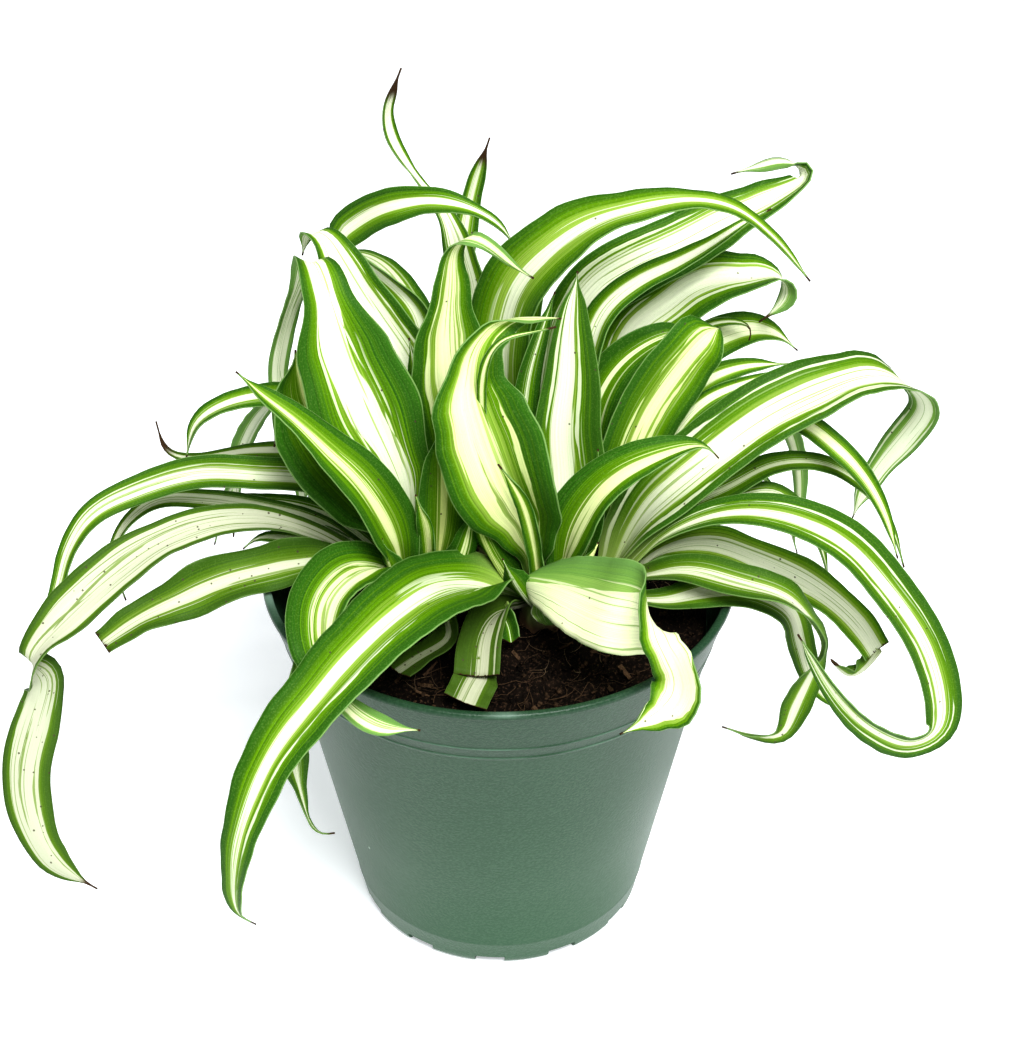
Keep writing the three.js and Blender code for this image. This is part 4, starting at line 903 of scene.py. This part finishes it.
def spline_point(points, place):
    """Centripetal spline through the points, place from 0 to their number less one."""
    index = min(int(place), len(points) - 2)
    part = place - index
    first, second = points[index], points[index + 1]
    before = points[index - 1] if index else first * 2 - second
    after = points[index + 2] if index + 2 < len(points) else second * 2 - first
    reach_before = (first - before).length ** 0.5
    reach = (second - first).length ** 0.5
    reach_after = (after - second).length ** 0.5
    start = ((first - before) / reach_before - (second - before) / (reach_before + reach)
             + (second - first) / reach) * reach
    end = ((second - first) / reach - (after - first) / (reach + reach_after)
           + (after - second) / reach_after) * reach
    bend = (second - first) * 3 - start * 2 - end
    turn = (first - second) * 2 + start + end
    return first + start * part + bend * part ** 2 + turn * part ** 3


def midrib(points, spacing):
    """Evenly spaced places along the leaf, in millimetres, and its length."""
    knots = [Vector(point) for point in points]
    steps = STEPS_PER_KNOT * (len(knots) - 1)
    trail = [spline_point(knots, (len(knots) - 1) * step / steps) for step in range(steps + 1)]
    run = [0.0]
    for first, second in zip(trail, trail[1:]):
        run.append(run[-1] + (second - first).length)
    rows = max(LEAST_ROWS, round(run[-1] / spacing))
    places, index = [], 0
    for row in range(rows + 1):
        goal = run[-1] * row / rows
        while index < steps - 1 and run[index + 1] < goal:
            index += 1
        part = (goal - run[index]) / (run[index + 1] - run[index])
        places.append(trail[index].lerp(trail[index + 1], part))
    return places, run[-1]


def smoothed(vectors, passes):
    """The row of vectors with each inner one drawn towards its neighbours."""
    for _ in range(passes):
        middle = [(a + b * 2 + c) / 4 for a, b, c in zip(vectors, vectors[1:], vectors[2:])]
        vectors = [vectors[0], *middle, vectors[-1]]
    return vectors


def half_width(leaf, share):
    """Half the width of the spread blade, from its shape or from base and taper."""
    if "shape" in leaf:
        return leaf["width"] * keyed(leaf["shape"], share) / 2
    swell = leaf["base"] + (1 - leaf["base"]) * ease(share / 0.35)
    tip = 1 if leaf["cut"] else max(0.0, 1 - share ** leaf["taper"]) ** 0.8
    return leaf["width"] * swell * tip / 2


def blade_rows(leaf, places, length):
    """Each row's centre, its way across and out, its half width, fold, calm and share."""
    last = len(places) - 1
    bearing = math.radians(leaf["bearing"])
    level = Vector((math.sin(bearing), -math.cos(bearing), 0))
    sheath = bpy.context.scene.plant_leaves.sheath / MM
    ways = [(places[min(row + 1, last)] - places[max(row - 1, 0)]).normalized()
            for row in range(last + 1)]
    turned = []
    for row, along in enumerate(ways):
        across = (level - along * level.dot(along)).normalized()
        roll = math.radians(keyed(leaf["roll"], row / last))
        turned.append(Matrix.Rotation(roll, 3, along) @ across)
    rows = []
    for row, (along, across) in enumerate(zip(ways, smoothed(turned, ROLL_PASSES))):
        share = row / last
        across = (across - along * across.dot(along)).normalized()
        foot = 1 - ease(share * length / leaf["foot"])
        narrow = TIP_SHARE + (1 - TIP_SHARE) * ease((1 - share) * length / TIP_LENGTH)
        end = 1.0 if leaf["cut"] else narrow
        half = max(half_width(leaf, share) * end, sheath * foot, LEAST_HALF)
        fold = math.radians(keyed(leaf["fold"], share) * (1 - foot) + SHEATH_FOLD * foot)
        calm = ease(share / 0.3) * ease((1 - share) / 0.25)
        rows.append((places[row], across, across.cross(along), half, fold, calm, share))
    return rows


def blade_shape(leaf, seed):
    """A blade's middle surface: a grid laid along the midrib, with its looks kept on its points."""
    settings = bpy.context.scene.plant_leaves
    places, length = midrib(leaf["points"], settings.spacing / MM)
    rows = blade_rows(leaf, smoothed(places, PATH_PASSES), length)
    height, count, phase = leaf["wave"]
    shape = bmesh.new()
    shape.loops.layers.uv.new("flat")
    bmesh.ops.create_grid(shape, x_segments=settings.columns, y_segments=len(rows) - 1, size=1,
                          calc_uvs=True)
    layers = {name: shape.verts.layers.float_vector.new(name) for name in LAYERS}
    luck = random.Random(seed)
    shift = Vector([luck.uniform(0, 40) for _ in range(3)])
    age = (leaf["dry"], leaf["tone_and_shade"], leaf["dirt_and_shade"])
    for vertex in shape.verts:
        side, row = vertex.co.x, round((vertex.co.y + 1) / 2 * (len(rows) - 1))
        centre, across, normal, half, fold, calm, share = rows[row]
        turn = phase + (0 if side > 0 else EDGE_LAG)
        ripple = height * side ** 2 * math.sin(math.tau * count * share + turn) * calm
        turn = share * length * 0.9 + 3 * math.sin(share * 9 + seed) + side
        fine = FINE_WAVE * side ** 4 * math.sin(turn) * calm
        valley = math.sqrt(side ** 2 + VALLEY_SOFT) - VALLEY_ROOT
        rise = half * valley * math.sin(fold) + ripple + fine
        vertex.co = (centre + across * (half * side * math.cos(fold)) + normal * rise) * MM
        lines = leaf["lines"]
        if isinstance(lines[0], tuple):
            lines = keyed(lines, share)
        for name, value in (
                ("blade", (side / 2 + 0.5, share, 0)),
                ("grain", (half * side / GRAIN_UNIT + shift.x,
                           share * length / GRAIN_UNIT + shift.y, shift.z)),
                ("band", (*keyed(leaf["band"], share), leaf["cream"])),
                ("lines", (*lines, 0)), ("age", age)):
            vertex[layers[name]] = value
    if leaf["flip"]:
        bmesh.ops.reverse_faces(shape, faces=shape.faces)
    return shape


def grow_blade(name, leaf, seed, nodes=()):
    """One leaf as a thin closed blade, its underside in a material of its own."""
    leaf = {**PLAIN_LEAF, "dry": DRY_CUT if leaf.get("cut") else DRY_TIP, **leaf}
    piece = finish_piece(name, blade_shape(leaf, seed),
                         (blade_material("leaf_face", 0.0), blade_material("leaf_underside", 1.0)),
                         nodes)
    skin = piece.modifiers.new("thickness", "SOLIDIFY")
    skin.thickness = bpy.context.scene.plant_leaves.thickness
    skin.offset = 0
    skin.material_offset = 1
    skin.material_offset_rim = 0
    return piece


def grow_leaves(table, first_seed, group=None):
    """A table's leaves, or those of one group, which take the places of their solids."""
    for place, (name, leaf) in enumerate(table.items()):
        if leaf.get("group") == group:
            grow_blade(f"blade_{name}", leaf, first_seed + place,
                       (f"leaf_{name}",) if group else ())


class PLANT_OT_stage(bpy.types.Operator):
    """Lay the pale floor, hang the soft light and stand the camera"""

    bl_idname = "plant.stage"
    bl_label = "Stage"

    # In metres
    FLOOR_HALF = 4
    LAMP_SIZE = 0.5
    LAMP_PLACE = (0.2, -0.6, 1.05)
    LAMP_AIM = (0, 0, 0.1)

    def execute(self, context):
        stage = context.scene.plant_stage
        shape = bmesh.new()
        bmesh.ops.create_grid(shape, x_segments=1, y_segments=1, size=self.FLOOR_HALF)
        mesh = bpy.data.meshes.new("floor")
        shape.to_mesh(mesh)
        shape.free()
        mesh.materials.append(floor_material())
        floor = bpy.data.objects.new("floor", mesh)
        context.scene.collection.objects.link(floor)

        world = bpy.data.worlds.new("soft_room")
        world.use_nodes = True
        sky = next(n for n in world.node_tree.nodes if n.type == "BACKGROUND")
        feed(world.node_tree, sky, {"Color": SKY, "Strength": stage.sky})
        context.scene.world = world
        lamp = bpy.data.lights.new("soft_key", "AREA")
        lamp.energy, lamp.size = stage.key, self.LAMP_SIZE
        key = bpy.data.objects.new("soft_key", lamp)
        key.location = self.LAMP_PLACE
        towards = Vector(self.LAMP_AIM) - key.location
        key.rotation_euler = towards.to_track_quat("-Z", "Y").to_euler()
        context.scene.collection.objects.link(key)

        camera = bpy.data.objects.new("camera", bpy.data.cameras.new("camera"))
        camera.location = stage.place
        camera.rotation_euler = (stage.tilt, 0, 0)
        camera.data.lens = stage.lens
        camera.data.clip_start = 0.01
        context.scene.collection.objects.link(camera)
        context.scene.camera = camera
        context.scene.view_settings.view_transform = "Standard"
        context.scene.view_settings.look = "Medium High Contrast"
        return {"FINISHED"}


class PLANT_OT_pot(bpy.types.Operator):
    """Turn the nursery pot, with its lip, fine rings and drain slots"""

    bl_idname = "plant.pot"
    bl_label = "Pot"

    STEPS = 240
    SLOT_STEPS = 8
    SLOT_TURN = math.radians(-4)
    # In millimetres, as are all the values below
    SLOT_TOP, SLOT_REACH = 2.6, 3.4
    COLLAR_FOOT, COLLAR_STEP = 52.2, 0.35
    LIP_DEPTH, LIP_REACH = 1.7, 0.45
    # Out and up, from the middle of the base along the outside to inside the lip
    BASE = ((0, 0.7), (6, 0.7), (7, 0))
    BASE_EDGE = ((-SLOT_REACH, 0), (-1.6, 0), (-0.7, 0.2), (-0.2, 0.7))
    WALL = ((0, 1.5), (0, SLOT_TOP), (0, 7.4), (0.12, 7.8), (0, 8.2), (0, 30), (0, 55))
    WALL_TOP = ((0, -1.2), (0.05, -0.8))
    LIP_FOOT = ((-LIP_REACH, 0), (-0.12, 0.12), (0, 0.4))
    LIP = ((0, -0.7), (-0.15, -0.3), (-0.5, -0.06), (-1.1, 0), (-1.6, -0.1), (-2, -0.5))
    # A fine ring: down to where the collar's slope is read, out and up
    RING = ((0.3, 0.0, -0.3), (0, 0.07, -0.14), (0, 0.1, 0.0), (0, 0.07, 0.14), (0, 0.0, 0.3))

    def profile(self, pot):
        """Radius and height of the outside, from the middle of the base to inside the lip."""
        top, rim, foot = pot.height, pot.rim_radius, pot.height - pot.collar_depth
        lip, collar_foot = top - self.LIP_DEPTH * MM, self.COLLAR_FOOT * MM

        def wall(height):
            """Radius of the tapered wall."""
            spread = collar_foot - self.COLLAR_STEP * MM - pot.base_radius
            return pot.base_radius + spread * height / foot

        def collar(height):
            """Radius of the collar above it."""
            spread = rim - self.LIP_REACH * MM - collar_foot
            return collar_foot + spread * (height - foot) / (lip - foot)

        def near(radius, height, moves):
            """Points beside a place."""
            return [(radius + out * MM, height + up * MM) for out, up in moves]

        points = near(0, 0, self.BASE) + near(pot.base_radius, 0, self.BASE_EDGE)
        for start, moves in ((0, self.WALL), (foot, self.WALL_TOP)):
            points += [(wall(start + up * MM) + out * MM, start + up * MM) for out, up in moves]
        for height in (foot, foot + RING_GAP):
            points += [(collar(height - down * MM) + out * MM, height + up * MM)
                       for down, out, up in self.RING]
        return points + near(rim, lip, self.LIP_FOOT) + near(rim, top, self.LIP)

    def execute(self, context):
        pot = context.scene.plant_pot
        width = math.tau * self.SLOT_STEPS / self.STEPS
        start = math.radians(-90) + self.SLOT_TURN - width / 2
        turn = Matrix.Rotation(start, 3, "Z")
        shape = bmesh.new()
        spin_profile(shape, [turn @ Vector((radius, 0, height))
                             for radius, height in self.profile(pot)], (0, 0, 0), self.STEPS)
        inner = pot.base_radius - self.SLOT_REACH * MM
        slots = []
        for face in shape.faces:
            middle = face.calc_center_median()
            past = (math.atan2(middle.y, middle.x) - start) % (math.tau / pot.slots)
            if past < width and middle.z < self.SLOT_TOP * MM and inner < middle.xy.length:
                slots.append(face)
        bmesh.ops.delete(shape, geom=slots, context="FACES")
        bmesh.ops.recalc_face_normals(shape, faces=shape.faces)
        outward = sum(face.normal.xy.dot(face.calc_center_median().xy) for face in shape.faces)
        if outward < 0:
            bmesh.ops.reverse_faces(shape, faces=shape.faces)
        piece = finish_piece("nursery_pot", shape, (plastic_material(),), ("pot",),
                             crease=math.radians(40))
        skin = piece.modifiers.new("wall", "SOLIDIFY")
        skin.thickness = pot.wall
        skin.offset = -1
        return {"FINISHED"}


def soil_height(x, y):
    """Height of the soil in millimetres: the solid's mounds with a crumbly finer roll."""
    height = (88 + 0.9 * math.sin(x * 0.19 + 1.2) * math.cos(y * 0.23)
              + 0.6 * math.sin(x * 0.41 - y * 0.33) + 0.4 * math.cos(y * 0.61 + x * 0.12))
    height += 0.9 * noise.noise(Vector((x * 0.3, y * 0.3, 2)))
    return height + 0.6 * noise.noise(Vector((x * 0.9, y * 0.9, 7)))


def on_soil(x, y, lift):
    """A place in millimetres, lifted off the soil."""
    return Vector((x, y, soil_height(x, y) + lift))


def spot(luck, reach):
    """A random place on the soil, in millimetres from the pot's axis."""
    angle, radius = luck.uniform(0, math.tau), reach * math.sqrt(luck.random())
    return radius * math.cos(angle), radius * math.sin(angle)


def tumbled(luck, place, sizes):
    """Where a loose bit lies: its place in millimetres, a random turn and its sizes."""
    turn = Matrix.Rotation(luck.uniform(0, math.tau), 4, "Z")
    for axis in "XY":
        turn = turn @ Matrix.Rotation(luck.uniform(-0.6, 0.6), 4, axis)
    return Matrix.Translation(place * MM) @ turn @ Matrix.Diagonal((*sizes, 1))


def roughen(corners, luck, reach):
    """Move each corner at random, so many millimetres at most each way."""
    for vertex in corners:
        vertex.co += Vector([luck.uniform(-reach, reach) * MM for _ in range(3)])


def strand(shape, trail, radius):
    """A thin fibre: a small ring extruded along the trail and closed at both ends."""
    ahead = (trail[1] - trail[0]).to_track_quat("Z", "Y").to_matrix().to_4x4()
    ring = bmesh.ops.create_circle(
        shape, segments=4, radius=radius * MM, matrix=Matrix.Translation(trail[0] * MM) @ ahead,
        cap_ends=True)["verts"]
    faces = list({face for vertex in ring for face in vertex.link_faces})
    for number, (place, following) in enumerate(zip(trail, trail[1:])):
        made = bmesh.ops.extrude_face_region(shape, geom=faces)["geom"]
        if number:
            bmesh.ops.delete(shape, geom=faces, context="FACES_ONLY")
        moved = [item for item in made if isinstance(item, bmesh.types.BMVert)]
        bmesh.ops.translate(shape, verts=moved, vec=(following - place) * MM)
        faces = [item for item in made if isinstance(item, bmesh.types.BMFace)]


class PLANT_OT_soil(bpy.types.Operator):
    """Fill the pot with potting mix, crumbs, bark and fibres"""

    bl_idname = "plant.soil"
    bl_label = "Soil"

    CELLS = 150
    SEED = 11
    # In millimetres: the soil's edge, how far loose bits lie from the axis, and a fibre's steps
    BRIM = 50.2
    CRUMB_REACH = 48.5
    CHIP_REACH = 47
    FIBRE_REACH = 46
    FIBRE_LIMIT = 49
    FIBRE_STEP = 1.3
    FIBRE_STEPS = 7
    # Where the soil begins to fall to the brim, how far that reaches and how deep
    FALL_START, FALL_REACH, FALL = 46, 5, 1.6
    # The finest crumb, what the largest has more, and how rough crumbs and chips are
    CRUMB_SIZE, CRUMB_MORE, CRUMB_ROUGH, CHIP_ROUGH = 0.25, 0.7, 0.35, 0.16
    # Radius and height of the root ball's side, from under the brim down
    SIDE = ((50.5, 85), (49.2, 80), (34.4, 3.4), (32.8, 1.9))

    def bed(self):
        """The root ball: a round field of mounds, closed by its sides and base."""
        shape = bmesh.new()
        bmesh.ops.create_grid(shape, x_segments=self.CELLS, y_segments=self.CELLS, size=1)
        for vertex in shape.verts:
            x, y, _ = vertex.co
            x, y = (x * math.sqrt(1 - y * y / 2) * self.BRIM,
                    y * math.sqrt(1 - x * x / 2) * self.BRIM)
            fall = self.FALL * ease((math.hypot(x, y) - self.FALL_START) / self.FALL_REACH)
            vertex.co = on_soil(x, y, -fall) * MM
        for radius, height in self.SIDE:
            edge = [e for e in shape.edges if e.is_boundary]
            made = bmesh.ops.extrude_edge_only(shape, edges=edge)["geom"]
            for vertex in (v for v in made if isinstance(v, bmesh.types.BMVert)):
                flat = vertex.co.xy.normalized() * radius
                vertex.co = Vector((flat.x, flat.y, height)) * MM
        bmesh.ops.holes_fill(shape, edges=[e for e in shape.edges if e.is_boundary], sides=0)
        bmesh.ops.recalc_face_normals(shape, faces=shape.faces)
        return shape

    def crumbs(self, number, luck):
        """Small rough crumbs, most of them fine."""
        shape = bmesh.new()
        for _ in range(number):
            x, y = spot(luck, self.CRUMB_REACH)
            size = self.CRUMB_SIZE + self.CRUMB_MORE * luck.random() ** 2
            sizes = (size, size * luck.uniform(0.6, 1), size * luck.uniform(0.5, 0.9))
            place = tumbled(luck, on_soil(x, y, size * 0.25), sizes)
            made = bmesh.ops.create_icosphere(shape, subdivisions=1, radius=MM, matrix=place)
            roughen(made["verts"], luck, self.CRUMB_ROUGH * size)
        return shape

    def chips(self, number, luck):
        """Flat splinters of bark."""
        shape = bmesh.new()
        for _ in range(number):
            x, y = spot(luck, self.CHIP_REACH)
            sizes = luck.uniform(1.5, 6), luck.uniform(0.4, 1.1), luck.uniform(0.2, 0.5)
            place = tumbled(luck, on_soil(x, y, 0.5), sizes)
            made = bmesh.ops.create_cube(shape, size=MM, matrix=place)
            roughen(made["verts"], luck, self.CHIP_ROUGH)
        return shape

    def fibres(self, number, luck):
        """Bent fibres that lie on the soil; those that would leave the pot are left out."""
        shape = bmesh.new()
        for _ in range(number):
            x, y = spot(luck, self.FIBRE_REACH)
            heading, bend = luck.uniform(0, math.tau), luck.uniform(-0.5, 0.5)
            lift = luck.uniform(0.1, 0.7)
            trail = []
            for _ in range(self.FIBRE_STEPS):
                trail.append(on_soil(x, y, lift + luck.uniform(-0.1, 0.35)))
                heading += bend * luck.uniform(0.2, 1.2)
                x += math.cos(heading) * self.FIBRE_STEP
                y += math.sin(heading) * self.FIBRE_STEP
            if math.hypot(x, y) < self.FIBRE_LIMIT:
                strand(shape, trail, luck.uniform(0.05, 0.12))
        return shape

    def execute(self, context):
        soil = context.scene.plant_soil
        dark, light = soil.colour, soil.fibre_colour
        peat = earth_material("peat", dark, dark * 2.2, 260.0)
        crumb = earth_material("crumbs", dark * 0.8, light, 140.0)
        bark = earth_material("bark_chips", light, light * 1.6, 90.0)
        coir = earth_material("coir", light, COIR_PALE, 60.0)
        luck = random.Random(self.SEED)
        finish_piece("soil_bed", self.bed(), (peat,), ("soil",))
        finish_piece("soil_crumbs", self.crumbs(soil.crumbs, luck), (crumb,))
        finish_piece("bark_chips", self.chips(soil.chips, luck), (bark,),
                     crease=math.radians(30))
        finish_piece("coir_fibres", self.fibres(soil.fibres, luck), (coir,))
        return {"FINISHED"}


class PLANT_OT_crowns(bpy.types.Operator):
    """Set the four crowns, with their young leaves and trimmed stubs"""

    bl_idname = "plant.crowns"
    bl_label = "Crowns"

    STEPS = 40
    RIBS = 5
    RIB_SHARE = 0.09
    RIB_TWIST = 300
    # Radius and height in millimetres
    PROFILE = ((0, 76), (5.0, 76), (6.2, 82), (6.0, 88), (5.0, 91), (3.6, 94), (1.8, 96), (0, 96.6))

    def execute(self, context):
        stem = stem_material()
        for key, (x, y) in CROWNS.items():
            shape = bmesh.new()
            points = [Vector((x + radius, y, height)) * MM for radius, height in self.PROFILE]
            spin_profile(shape, points, Vector((x, y, 0)) * MM, self.STEPS)
            bmesh.ops.recalc_face_normals(shape, faces=shape.faces)
            for vertex in shape.verts:
                out = Vector((vertex.co.x - x * MM, vertex.co.y - y * MM, 0))
                turn = math.atan2(out.y, out.x) * self.RIBS + vertex.co.z * self.RIB_TWIST + x
                vertex.co += out * self.RIB_SHARE * math.sin(turn)
            finish_piece(f"crown_stem_{key}", shape, (stem,), (f"crown_{key}",))
        grow_leaves(CROWN_LEAVES, CROWN_SEED)
        return {"FINISHED"}


class PLANT_OT_front_leaves(bpy.types.Operator):
    """Grow the leaves at the front of the heart"""

    bl_idname = "plant.front_leaves"
    bl_label = "Front leaves"

    def execute(self, context):
        grow_leaves(LEAVES, 0, "front")
        return {"FINISHED"}


class PLANT_OT_left_leaves(bpy.types.Operator):
    """Grow the leaves that lean or trail to the left"""

    bl_idname = "plant.left_leaves"
    bl_label = "Left leaves"

    def execute(self, context):
        grow_leaves(LEAVES, 0, "left")
        return {"FINISHED"}


class PLANT_OT_upright_leaves(bpy.types.Operator):
    """Grow the tall leaves of the middle"""

    bl_idname = "plant.upright_leaves"
    bl_label = "Upright leaves"

    def execute(self, context):
        grow_leaves(LEAVES, 0, "upright")
        return {"FINISHED"}


class PLANT_OT_right_leaves(bpy.types.Operator):
    """Grow the leaves that lean or trail to the right"""

    bl_idname = "plant.right_leaves"
    bl_label = "Right leaves"

    def execute(self, context):
        grow_leaves(LEAVES, 0, "right")
        return {"FINISHED"}


class PLANT_OT_back_leaves(bpy.types.Operator):
    """Grow the leaves that hang behind the pot"""

    bl_idname = "plant.back_leaves"
    bl_label = "Back leaves"

    def execute(self, context):
        grow_leaves(LEAVES, 0, "back")
        return {"FINISHED"}


class PLANT_OT_slight_leaves(bpy.types.Operator):
    """Grow the slight leaves, the stubs and the sheaths that have no solid of their own"""

    bl_idname = "plant.slight_leaves"
    bl_label = "Slight leaves"

    def execute(self, context):
        grow_leaves(SLIGHT_LEAVES, SLIGHT_SEED)
        return {"FINISHED"}


OPERATORS = (PLANT_OT_stage, PLANT_OT_pot, PLANT_OT_soil, PLANT_OT_crowns, PLANT_OT_front_leaves,
             PLANT_OT_left_leaves, PLANT_OT_upright_leaves, PLANT_OT_right_leaves,
             PLANT_OT_back_leaves, PLANT_OT_slight_leaves)
SETTINGS = {"plant_stage": StageSettings, "plant_pot": PotSettings, "plant_soil": SoilSettings,
            "plant_leaves": LeafSettings}


class PLANT_PT_panel(bpy.types.Panel):
    """Buttons for the pieces of the plant"""

    bl_idname = "PLANT_PT_panel"
    bl_label = "Potted spider plant"
    bl_space_type = "VIEW_3D"
    bl_region_type = "UI"
    bl_category = "Plant"

    def draw(self, context):
        for operator in OPERATORS:
            self.layout.operator(operator.bl_idname)
        for name, group in SETTINGS.items():
            box = self.layout.box()
            for value in group.__annotations__:
                box.prop(getattr(context.scene, name), value)


def register():
    """Register the settings, the operators and the panel."""
    for group in SETTINGS.values():
        bpy.utils.register_class(group)
    for name, group in SETTINGS.items():
        setattr(bpy.types.Scene, name, PointerProperty(type=group))
    for operator in OPERATORS:
        bpy.utils.register_class(operator)
    bpy.utils.register_class(PLANT_PT_panel)


def unregister():
    """Take back what register did, in reverse."""
    bpy.utils.unregister_class(PLANT_PT_panel)
    for operator in reversed(OPERATORS):
        bpy.utils.unregister_class(operator)
    for name, group in SETTINGS.items():
        delattr(bpy.types.Scene, name)
        bpy.utils.unregister_class(group)


def main():
    """Build every piece in order."""
    register()
    bpy.ops.plant.stage()
    bpy.ops.plant.pot()
    bpy.ops.plant.soil()
    bpy.ops.plant.crowns()
    bpy.ops.plant.front_leaves()
    bpy.ops.plant.left_leaves()
    bpy.ops.plant.upright_leaves()
    bpy.ops.plant.right_leaves()
    bpy.ops.plant.back_leaves()
    bpy.ops.plant.slight_leaves()


if __name__ == "__main__":
    main()
